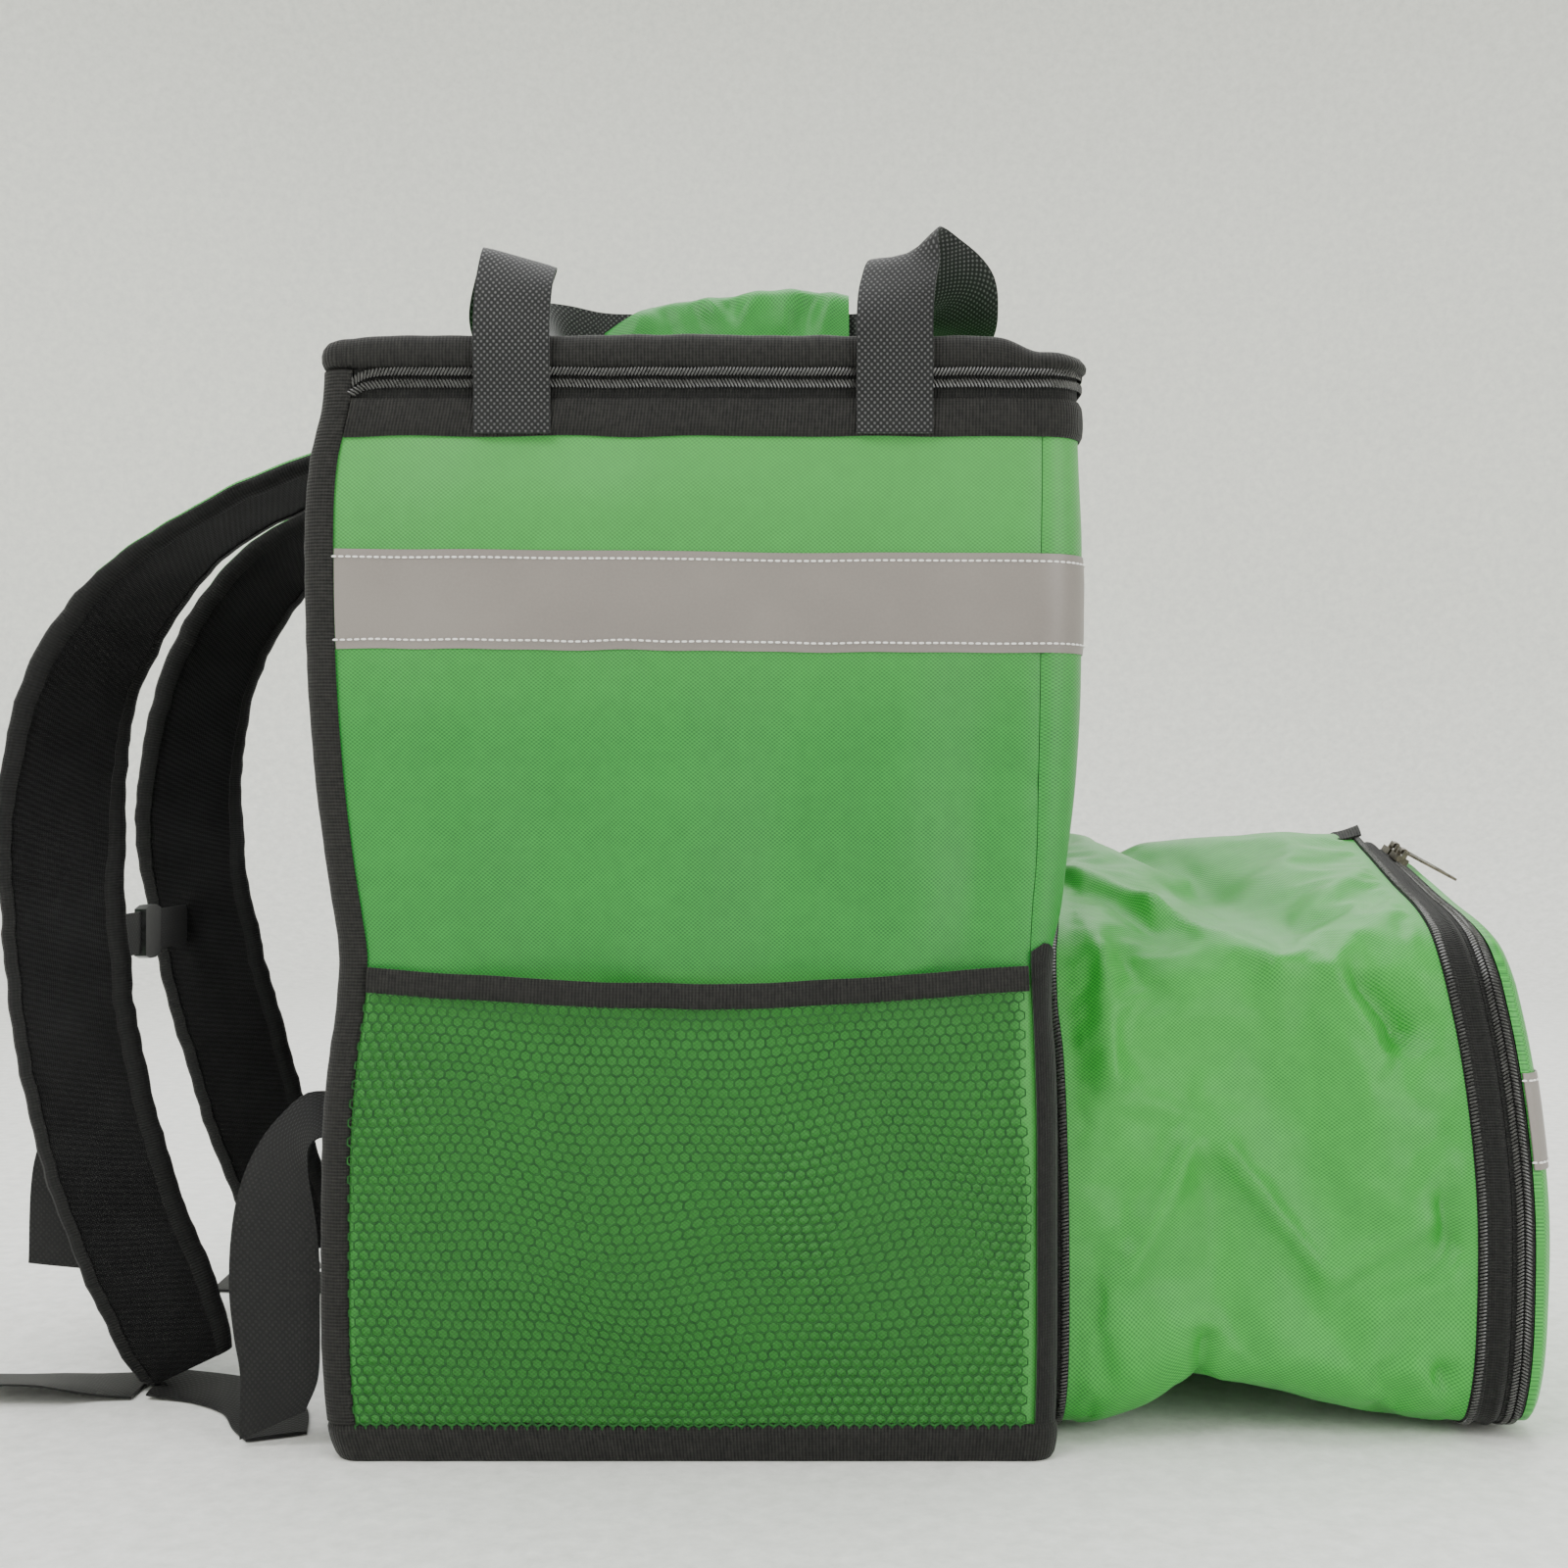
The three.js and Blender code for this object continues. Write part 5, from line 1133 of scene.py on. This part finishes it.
near_creases = [
    # wedge below the shoulder near the body, lit on its left
    ((219, -176, 262), (220, -192, 188), 8, 4.5, 5.5, 1.4),
    ((230, -172, 258), (243, -184, 232), 8, -4.0, -2.5, 1.6),
    ((204, -178, 240), (206, -190, 180), 6, -0.5, -1.0, 1.6),
    ((236, -190, 196), (262, -190, 206), 12, -2.0, -1.0, 2.0),
    # long fold from the body's front down over the shoulder
    ((200, -70, 294), (250, -120, 272), 11, 5.5, 5.0, 1.6),
    ((250, -120, 272), (305, -165, 240), 11, 5.0, 3.5, 1.6),
    ((305, -165, 240), (392, -168, 238), 10, 3.0, 2.0, 1.6),
    # hollow on the sloping top
    ((285, -70, 290), (330, -120, 270), 20, -7.0, -6.0, 2.0),
    ((270, -30, 300), (300, -60, 294), 16, -3.0, -5.0, 2.0),
    ((240, 10, 304), (262, -20, 302), 10, -3.0, -3.0, 2.0),
    ((350, -100, 276), (392, -60, 290), 12, 3.0, 1.0, 1.6),
    # dark dent with a sharp left edge
    ((337, -176, 236), (362, -190, 200), 8, 4.0, 3.5, 1.4),
    ((352, -174, 232), (370, -186, 214), 9, -7.0, -7.5, 1.7),
    ((366, -186, 206), (366, -188, 198), 9, -5.0, -3.0, 1.7),
    ((330, -186, 216), (348, -190, 190), 10, 2.0, 2.5, 1.6),
    # two legs of a fold in the middle
    ((258, -193, 152), (226, -193, 88), 6.5, 5.5, 3.0, 1.3),
    ((276, -193, 150), (328, -193, 85), 6.5, 6.0, 4.0, 1.3),
    ((268, -193, 132), (272, -193, 96), 12, -3.5, -2.5, 2.0),
    ((222, -193, 130), (214, -193, 100), 12, -2.5, -1.5, 2.0),
    ((318, -193, 140), (344, -193, 108), 14, -2.5, -2.0, 2.0),
    # towards the outer zipper
    ((332, -193, 92), (380, -193, 118), 8, 2.0, 4.0, 1.5),
    ((386, -193, 122), (391, -193, 104), 8, -6.0, -5.0, 1.6),
    ((300, -193, 176), (360, -193, 168), 12, -1.6, 1.6, 1.8),
    ((350, -192, 66), (388, -192, 88), 10, 2.5, 1.0, 1.6),
    # foot
    ((266, -192, 52), (264, -180, 34), 4.5, -5.0, -5.0, 1.3),
    ((228, -193, 40), (250, -190, 48), 14, 3.0, 2.0, 1.8),
    ((300, -192, 48), (340, -192, 34), 12, 2.5, 2.5, 1.7),
    ((384, -192, 34), (394, -188, 16), 6, -5.5, -3.5, 1.5),
    ((370, -192, 40), (386, -192, 22), 6, 3.0, 3.0, 1.5),
    ((205, -193, 100), (208, -193, 40), 8, -0.5, -1.5, 1.6),
]
cloud = gusset_base.reshape(-1, 3)


def on_gusset(p):
    """The nearest point of the unfolded gusset."""
    return cloud[np.argmin(np.linalg.norm(cloud - p, axis=1))]


folds = [(on_gusset(a), on_gusset(b), width, 1.5 * high_a, 1.5 * high_b, sharp)
         for a, b, width, high_a, high_b, sharp in near_creases + mirrored(near_creases, [6, 0, -7], [-5, 0, 6])]
gusset_outer = creased(gusset_base, gusset_normal, folds)
fade = (step(0, 0.09, share) * step(0, 0.07, 1 - share))[..., None]
small = (0.9 * ripple(gx, RY + RZ, 61, 70) + 0.5 * ripple(gx, RY * 2 + RZ, 62, 34))[..., None]
gusset_outer = gusset_base + (gusset_outer - gusset_base + gusset_normal * small) * fade
gusset_outer = relax(gusset_outer)
gusset_outer[..., 2] = np.maximum(gusset_outer[..., 2], 1.2)
pins = np.zeros(gusset_outer.shape[:2])
pins[:3] = pins[-3:] = 1
gusset_outer = settle(gusset_outer, pins, swell=0.022, cap=6.0, wrap=True)
gusset_outer[..., 2] = np.maximum(gusset_outer[..., 2], 1.2)
found = normals(gusset_outer, True)
gusset_inner = gusset_outer - 2.0 * found * np.sign(np.sum(found[5] * gusset_normal[5]))
gusset_inner[..., 2] = np.maximum(gusset_inner[..., 2], 2.6)
gusset_piece = slab_piece("gusset_cloth", gusset_outer, gusset_inner, GREEN, "compartment_gusset", sharp=80,
                          wrap=True, uv=grid_uv(gusset_outer, True)[..., ::-1])

# outer ring: a zipper half, a tape with a ridge, and the closed pocket zipper
ring_band("outer_zip_tape", [(401.3, 0.2), (403, 0.8), (406, 0.9), (408, 0.5)], "outer_zipper_half")
ring_band("outer_ring_tape", [(408.2, 0.1), (410, 0.5), (412.5, 0.6), (414, 1.9), (415.2, 2.3), (416.4, 1.7),
                              (418.5, 0.4)], "outer_band")
ring_band("pocket_zip_tape", [(418.9, 0.3), (421, 0.7), (428, 0.7), (430, 0.3)], "pocket_zipper")
outer_teeth = Shape()
for along, tilt in ((403.6, 0.25), (422.4, 0.5), (426.6, -0.5)):
    line = ring(along, 1.4)
    out = unit(ring(along, 2.4) - line)
    outer_teeth.scatter(long_tooth, frames_along(line, out, TOOTH_PITCH, tilt=math.pi / 2 + tilt, closed=True))
outer_teeth.make("outer_zip_teeth", COIL)

# front pocket panel, a shallow dome with soft dents
POCKET_BASE = 430.3
POCKET_THICK = 4.0
CENTRE_Z = 150.0
pocket_profile = smooth([0, 0.25, 0.6, 0.9, 0.98, 1], [13.2, 13, 12, 8, 4.2, 0.4])


def pocket_dent(y, z):
    return 1.5 * ripple(y, z, 71, 170) + 0.7 * ripple(y, z, 72, 70)


def pocket_loop(share, out):
    p = ring(POCKET_BASE)
    y = p[:, 1] * share
    z = CENTRE_Z + (p[:, 2] - CENTRE_Z) * share
    return np.stack([POCKET_BASE + lean_at(z) + out, y, z], 1)


shares = np.concatenate([[0.012], np.linspace(0.06, 0.9, 26), [0.93, 0.955, 0.975, 0.99, 1.0]])
front_loops = []
for sh in shares:
    loop = pocket_loop(sh, pocket_profile(sh) + POCKET_THICK)
    loop[:, 0] += pocket_dent(loop[:, 1], loop[:, 2]) * step(0, 0.1, 1 - sh)
    front_loops.append(loop)
back_loops = [pocket_loop(sh, float(pocket_profile(sh))) for sh in shares[::3]]
all_loops = np.array(back_loops + [pocket_loop(1.0, 0.4), pocket_loop(1.0, 2.4)] + front_loops[::-1])
pocket = Shape()
pocket_uv = np.concatenate([all_loops, all_loops[:, :1]], 1)[..., 1:]
pocket.loft(all_loops, pocket_uv)
pocket.make("front_pocket_cloth", GREEN, "front_pocket_panel", sharp=60)


# its reflective strip, read off the panel's own surface
def pocket_face(y, z):
    """Front of the pocket panel at a place across and up."""
    p = ring(POCKET_BASE)
    ang_edge = np.arctan2(p[:, 2] - CENTRE_Z, p[:, 1])
    order = np.argsort(ang_edge)
    radius = np.interp(np.arctan2(z - CENTRE_Z, y), ang_edge[order],
                       np.hypot(p[order, 1], p[order, 2] - CENTRE_Z), period=2 * math.pi)
    sh = np.clip(np.hypot(y, z - CENTRE_Z) / radius, 0.012, 1)
    dent = pocket_dent(y, z) * step(0, 0.1, 1 - sh)
    return POCKET_BASE + lean_at(z) + pocket_profile(sh) + POCKET_THICK + dent


edge_at = smooth([60, 112, 168, 220], [194, 193, 184, 172])
strip_y = np.concatenate([[-1.0, -1.0], np.linspace(-0.985, 0.985, 60), [1.0, 1.0]])
strip_z = np.linspace(140, 188, 14)[:, None]
y = strip_y[None] * edge_at(strip_z)
x = pocket_face(y, strip_z + 0 * y)
x[:, 0] = x[:, -1] = POCKET_BASE + lean_at(strip_z[:, 0]) + 0.6
x[:, 1] = x[:, -2] = POCKET_BASE + lean_at(strip_z[:, 0]) + 3.6
outw = np.zeros(64)
outw[[0, 1]] = -1
outw[[-1, -2]] = 1
face = np.where(np.abs(outw) > 0, 0.35, 1.0)


def lay(d):
    """The strip's grid at a distance off the panel, turned round its side edges."""
    return np.stack([x + d * face, y + d * outw, strip_z + 0 * y], -1)


slab_piece("pocket_reflective_strip", lay(1.5), lay(0.7), REFLECTIVE, "pocket_strip", sharp=38)
stitches = Shape()
for row in (1, 12):
    line = lay(1.75)[row]
    normal = np.stack([face, outw, 0 * face], 1)
    stitches.scatter(stitch, frames_along(line, unit(normal), STITCH_PITCH, lead=2))
stitches.make("pocket_stitching", THREAD)


# raised end of the zipper tape at the top
t = np.linspace(-1, 1, 13)[:, None]
w = np.linspace(0, 1, 8)[None]
flap_y = t * 15 + 0 * w
flap_x = 381 + 15 * w - 2.0 * np.abs(t)
flap_z = 306 - 0.25 * np.abs(flap_y) + 1.2 + 4.5 * w**1.4 - 1.6 * t**2 * w
top = np.stack([flap_x, flap_y, flap_z], -1)
slab_piece("zip_tape_end", top + [0, 0, 0.7], top - [0, 0, 0.5], BINDING, "tape_end_flap", 38, uv=grid_uv(top))


# ---------------------------------------------------------------- ribbons of webbing
WEBBING_STEP, WEBBING_COLUMNS = 3.0, 9


def webbing_profile(t):
    """Share of the full thickness, from one edge at -1 to the other at 1."""
    return 0.55 + 0.45 * (1 - np.abs(t) ** 6)


def ribbon(centre, wide, width, thick, name, material, node, wobble=0.0):
    """Flat webbing through stations, each with its middle and the direction of its width."""
    centre, wide = np.asarray(centre, float), np.asarray(wide, float)
    key = lengths(centre)
    at = np.linspace(0, key[-1], max(6, int(key[-1] / WEBBING_STEP)))
    c = smooth(key, centre, limit=False)(at)
    w = smooth(key, wide, limit=False)(at)
    t = unit(np.gradient(c, axis=0))
    w = unit(w - t * np.sum(w * t, 1, keepdims=True))
    n = np.cross(t, w)
    col = np.linspace(-0.5, 0.5, WEBBING_COLUMNS)
    half_thick = (webbing_profile(2 * col) * thick / 2)[None, :, None]
    curl = wobble * ripple(at[:, None], col[None] * 30, 81, 60)
    grid = c[:, None] + w[:, None] * (col * width)[None, :, None] + n[:, None] * curl[..., None]
    uv = uv_grid(col * width, at, len(at), WEBBING_COLUMNS)
    slab_piece(name, grid + n[:, None] * half_thick, grid - n[:, None] * half_thick, material, node, uv=uv)


legs = np.array([
    (-86, -219.2, 511, 1, 0, 0), (-86, -219.6, 530, 1, 0, 0), (-86, -221.5, 548, 1, 0, 0),
    (-86, -221, 568, 1, 0, -0.04), (-85, -217, 587, 1, 0, -0.12), (-84, -207, 600, 0.97, 0.05, -0.24),
    (-85, -195, 602.5, 0.96, 0.12, -0.24), (-91, -182, 592, 0.96, 0.2, -0.2), (-96, -168, 581, 0.97, 0.24, -0.1),
    (-97, -142, 574, 0.98, 0.2, 0), (-95, -108, 581, 0.98, 0.2, 0), (-92, -70, 595, 0.9, 0.3, -0.3),
    (-87, -38, 603, 0.6, 0.3, -0.7), (-79, -16, 604, 0.2, 0.1, -0.97), (-63, -5.5, 602, 0, 0, -1),
    (-40, -4, 601, 0, 0, -1),
    (70, -4, 601, 0, 0, -1), (92, -5.5, 601, 0, 0, -1), (110, -17, 601, -0.2, 0.1, -0.97),
    (124, -42, 598, -0.5, -0.2, -0.8), (136, -78, 588, -0.9, -0.3, -0.3), (142, -116, 579, -0.98, -0.2, 0.04),
    (144, -146, 582, -0.97, -0.2, -0.1), (141.5, -167, 593, -0.95, -0.2, -0.32), (126, -188, 601, -0.9, -0.18, -0.42),
    (112, -203, 604, -0.9, -0.06, -0.4), (106, -214, 588, -0.93, 0, -0.36), (104, -220.6, 569, -0.99, 0, -0.14),
    (104, -221.5, 548, -1, 0, 0), (104, -219.6, 530, -1, 0, 0), (104, -219.2, 511, -1, 0, 0)], float)
for flip in (False, True):
    m = np.array([1, -1 if flip else 1, 1])
    name = "far" if flip else "near"
    wide = legs[:, 3:] * m * (-1 if flip else 1)
    ribbon(legs[:, :3] * m, wide, 38.0, 2.0, name + "_handle_webbing", WEBBING, name + "_handle", wobble=0.3)

# grip wrap: a flattened sleeve with puckers
wrap_top = smooth([0, 0.08, 0.22, 0.49, 0.65, 0.84, 1], [609, 617, 627, 633, 634.5, 636, 632])
wrap_bottom = smooth([0, 0.12, 0.5, 0.88, 1], [575, 574, 573, 574, 575])
sh = np.linspace(0, 1, 60)[:, None]
ang = np.linspace(0, 2 * math.pi, 48, endpoint=False)[None]
gx = -59 + sh * 147 + 0 * ang
mid, tall = (wrap_top(sh) + wrap_bottom(sh)) / 2, (wrap_top(sh) - wrap_bottom(sh)) / 2
across = np.sign(np.cos(ang)) * np.abs(np.cos(ang)) ** 0.6
upw = np.sign(np.sin(ang)) * np.abs(np.sin(ang)) ** 0.85
wy, wz = 11.3 * across, mid + tall * upw
g = np.stack([gx, wy + 0 * sh, wz], -1)
gn = np.stack([0 * gx, np.cos(ang) + 0 * gx, 0.7 * np.sin(ang) + 0 * gx], -1)
gn = unit(gn)
puckers = [
    ((-24, -11, 626), (-14, -11, 596), 7, -5.0, -2.5, 1.5), ((-38, -11, 620), (-44, -11, 596), 6, 2.5, 1.0, 1.5),
    ((2, -11, 632), (16, -11, 612), 5, 3.6, 2.0, 1.4), ((34, -11, 634), (20, -11, 612), 5, 3.6, 2.0, 1.4),
    ((15, -11, 634), (18, -11, 614), 7, -8.5, -4.0, 1.6), ((54, -11, 635), (50, -11, 610), 6, 3.4, 2.0, 1.4),
    ((66, -11, 636), (60, -11, 608), 7, -8.5, -4.0, 1.6), ((78, -11, 634), (70, -11, 606), 5, 3.2, 1.5, 1.5),
    ((-8, -11, 632), (2, -11, 604), 8, -6.0, -3.0, 1.6)]
g = creased(g, gn, puckers + mirrored(puckers, [9, 0, 0], [7, 0, 0]))
g = g + gn * (0.5 * ripple(gx, wz, 91, 26))[..., None]
wrap = slab_piece("grip_cloth", g, g - gn * 1.8 * [0, 1, 1], GREEN_WRAP_SHADED, "grip_wrap", sharp=70, wrap=True,
                  uv=grid_uv(g, True)[..., ::-1])


# ---------------------------------------------------------------- shoulder straps
near_strap = [
    (-186.8, 513, 7, 66), (-205, 509, 7, 66), (-240, 495, 8, 66), (-277, 473, 11, 66), (-305, 448, 24, 65),
    (-328, 416, 36, 65), (-343, 384, 45, 65), (-350, 345, 57, 66), (-353, 304, 72, 67), (-351, 266, 90, 67),
    (-345, 205, 90, 67), (-333, 147, 90, 67), (-317, 96, 90, 66), (-300, 56, 90, 64), (-288, 28, 90, 60),
    (-281, 13, 90, 50)]
far_strap = [
    (-186.8, 513, 10, 66), (-208, 509, 16, 66), (-248, 499, 24, 66), (-282, 478, 30, 66), (-304, 452, 36, 66),
    (-321, 421, 42, 65), (-332, 388, 48, 65), (-339, 346, 58, 65), (-340, 304, 72, 66), (-335, 266, 90, 66),
    (-322, 207, 90, 67), (-308, 158, 90, 66), (-294, 110, 90, 64), (-279, 68, 90, 58), (-265, 30, 90, 52)]


def strap(table, y0, name):
    """A padded strap: black mesh on one face, green cloth on the other, bound along its edges."""
    t = np.array(table, float)
    centre = np.stack([t[:, 0], 0 * t[:, 0] + y0, t[:, 1]], 1)
    key = lengths(centre)
    count = 120
    at = np.linspace(0, key[-1], count)
    c = smooth(key, centre, limit=False)(at)
    turned = np.radians(smooth(key, t[:, 2])(at))
    width = smooth(key, t[:, 3])(at)
    tan = unit(np.gradient(c, axis=0))
    side = np.stack([-tan[:, 2], 0 * tan[:, 0], tan[:, 0]], 1)
    wide = np.array([0, -1, 0]) * np.cos(turned)[:, None] - side * np.sin(turned)[:, None]
    wide = unit(wide - tan * np.sum(wide * tan, 1, keepdims=True))
    n = np.cross(tan, wide)
    width = width * (1.0 + 0.012 * ripple(at, 0, 101, 60) + 0.02 * ripple(at, 0, 105, 17))
    c = c + wide * (0.9 * ripple(at, 0, 106, 24))[:, None]
    c = c + n * (0.8 * ripple(at, 0, 107, 30))[:, None]
    col = np.sin(np.linspace(-math.pi / 2, math.pi / 2, 25)) * 0.5

    def surface(side_sign, thick, puff, seed, shrink=1.0):
        prof = (1 - np.abs(2 * col) ** 5) ** 0.6
        body_t = thick * (0.28 + 0.72 * prof)
        soft = puff * ripple(at[:, None], col[None] * 60, seed, 46) * prof[None]
        grid = c[:, None] + wide[:, None] * (col[None] * width[:, None] * shrink)[..., None]
        grid = grid + n[:, None] * (side_sign * (body_t[None] + soft))[..., None]
        grid[..., 2] = np.maximum(grid[..., 2], STRAP_FLOOR)
        return grid

    uv = uv_grid(col * 68, at, count, 25)
    slab_piece(name + "_strap_pad", surface(1, 4.3, 0.3, 102), surface(-1, 5.3, 0.55, 103), MESH,
                         name + "_shoulder_strap", sharp=70, uv=uv)
    slab_piece(name + "_strap_cloth", surface(1, 5.4, 0.3, 102, 0.995), surface(1, 4.35, 0.3, 102, 0.99), GREEN,
               sharp=70, uv=uv)
    # binding folded over both edges
    for sign, tag in ((1, "left"), (-1, "right")):
        prof = [(0.5 - 0.125, 5.6), (0.5 - 0.09, 5.7), (0.5 - 0.03, 4.8), (0.507, 2.6), (0.516, 0),
                (0.507, -2.6), (0.5 - 0.03, -4.8), (0.5 - 0.09, -5.8), (0.5 - 0.125, -5.9)]
        prof_in = [(0.5 - 0.125, 5.2), (0.5 - 0.09, 5.1), (0.5 - 0.04, 4.0), (0.494, 2.0), (0.500, 0),
                   (0.494, -2.0), (0.5 - 0.04, -4.0), (0.5 - 0.09, -5.1), (0.5 - 0.125, -5.2)]

        bare = step(8, 22, at) * step(0, 40, 175 - at) * (1 if sign > 0 else 0)

        def rows(p):
            lines = []
            for a, b in p:
                lift = b + 0.25 * ripple(at, b, 104, 30)
                lift = lift - bare * np.maximum(0, lift - 0.6)
                lines.append(c + wide * (sign * a * width)[:, None] + n * lift[:, None])
            lines = np.stack(lines, 1)
            lines[..., 2] = np.maximum(lines[..., 2], STRAP_FLOOR)
            return lines
        slab_piece(name + "_strap_binding_" + tag, rows(prof), rows(prof_in), BINDING_BLACK, sharp=60,
                   uv=uv_grid(np.arange(9) * 2.2, at, count, 9)[..., ::-1])


strap(near_strap, -100.0, "near")
strap(far_strap, 100.0, "far")


# ---------------------------------------------------------------- lower webbing, tails and hardware
def strip(rows, name, node, seed):
    """Flat webbing 2 mm thick between two edges, given as rows of left and right places."""
    left, right = np.array([a for a, b in rows], float), np.array([b for a, b in rows], float)
    key = lengths((left + right) / 2)
    at = np.linspace(0, key[-1], max(6, int(key[-1] / WEBBING_STEP)))
    a, b = smooth(key, left)(at), smooth(key, right)(at)
    w = np.linspace(0, 1, WEBBING_COLUMNS)
    grid = a[:, None] * (1 - w)[None, :, None] + b[:, None] * w[None, :, None]
    n = normals(grid)
    grid = grid + n * (0.25 * ripple(at[:, None], w[None] * 40, seed, 50))[..., None]
    half_thick = webbing_profile(2 * w - 1)[None, :, None]
    up, down = grid + n * half_thick, grid - n * half_thick
    up[..., 2], down[..., 2] = np.maximum(up[..., 2], 0.4), np.maximum(down[..., 2], 0.3)
    uv = uv_grid(w * float(np.linalg.norm(left[0] - right[0])), at, len(at), WEBBING_COLUMNS)
    slab_piece(name, up, down, WEBBING_DARK, node, uv=uv)


lower = [
    ((-176.9, -165, 176), (-180.2, -203, 160)), ((-195, -172, 177), (-187, -204, 158)),
    ((-211, -182, 165), (-190.5, -204.5, 151)), ((-222, -190, 148), (-190, -204.5, 139)),
    ((-228, -197, 128), (-187.5, -204, 123)), ((-230.5, -201, 106), (-185.4, -203.5, 104)),
    ((-231, -202, 84), (-185, -203, 82)), ((-229, -201, 60), (-185, -203, 60)),
    ((-226, -199, 36), (-186, -202, 38)), ((-227.5, -195, 4), (-193, -199, 20))]
for flip in (False, True):
    m = np.array([1, -1 if flip else 1, 1])
    name = "far" if flip else "near"
    strip(np.array(lower) * m, name + "_lower_strap", name + "_lower_webbing", 111)
near_floor = [((-226, -189), (-198, -176)), ((-238, -170), (-206, -140)), ((-252, -142), (-226, -101)),
              ((-276, -123), (-262, -77)), ((-300, -117), (-300, -69))]
far_floor = [((-226, 189), (-198, 176)), ((-234, 172), (-204, 144)), ((-246, 158), (-225, 112)),
             ((-262, 158), (-256, 110)), ((-270, 160), (-270, 112))]
for rows, name in ((near_floor, "near"), (far_floor, "far")):
    rows = [[(*place, 1.5 if k < 4 else 3) for place in row] for k, row in enumerate(rows)]
    strip(rows, name + "_floor_strap", name + "_floor_webbing", 113)
near_tail = [((-307.7, -118, 1.6), (-307.7, -70, 1.6)), ((-328, -122, 4.5), (-335, -75, 2)),
             ((-348, -130, 10.5), (-356, -83, 4.5)), ((-374, -130, 12), (-380, -83, 4)),
             ((-396, -130, 12), (-400, -83, 4))]
far_tail = [((-277.7, 112, 1.6), (-277.7, 160, 1.6)), ((-302, 113, 1.6), (-302, 161, 1.6)),
            ((-330, 116, 1.6), (-330, 164, 1.6))]
strip(near_tail, "near_strap_tail", "near_webbing_tail", 115)
strip(far_tail, "far_strap_tail", "far_webbing_tail", 117)
FLAP_Y = -100 + 5.5 + 1.3
flap = [((-361, FLAP_Y, 155), (-314, FLAP_Y, 150)), ((-370.5, FLAP_Y, 122), (-323, FLAP_Y, 117)),
        ((-373, FLAP_Y, 69.5), (-326, FLAP_Y, 65))]
strip(flap, "strap_end_flap", "strap_flap", 119)

sternum_a, sternum_b = np.array([-331, -94.0, 250]), np.array([-341, 94.0, 246])
gap = 17.3 / np.linalg.norm(sternum_b - sternum_a)
for name, lo, hi in (("near", 0, 0.5 - gap), ("far", 0.5 + gap, 1)):
    stations = [sternum_a + (sternum_b - sternum_a) * q for q in np.linspace(lo, hi, 5)]
    ribbon(stations, [(0, 0, 1)] * 5, 25.0, 1.8, name + "_chest_strap", WEBBING_DARK, name + "_sternum_strap")

# hard pieces that keep their CAD shape take better materials
kept = ((PLASTIC, ("sternum_buckle", "near_ladder_lock", "far_ladder_lock")),
        (METAL, ("zip_slider_1", "zip_slider_2", "zip_pull_1", "zip_pull_2", "lid_slider")))
for material, nodes in kept:
    for node in nodes:
        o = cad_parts[node]
        o.data.materials.clear()
        o.data.materials.append(material)
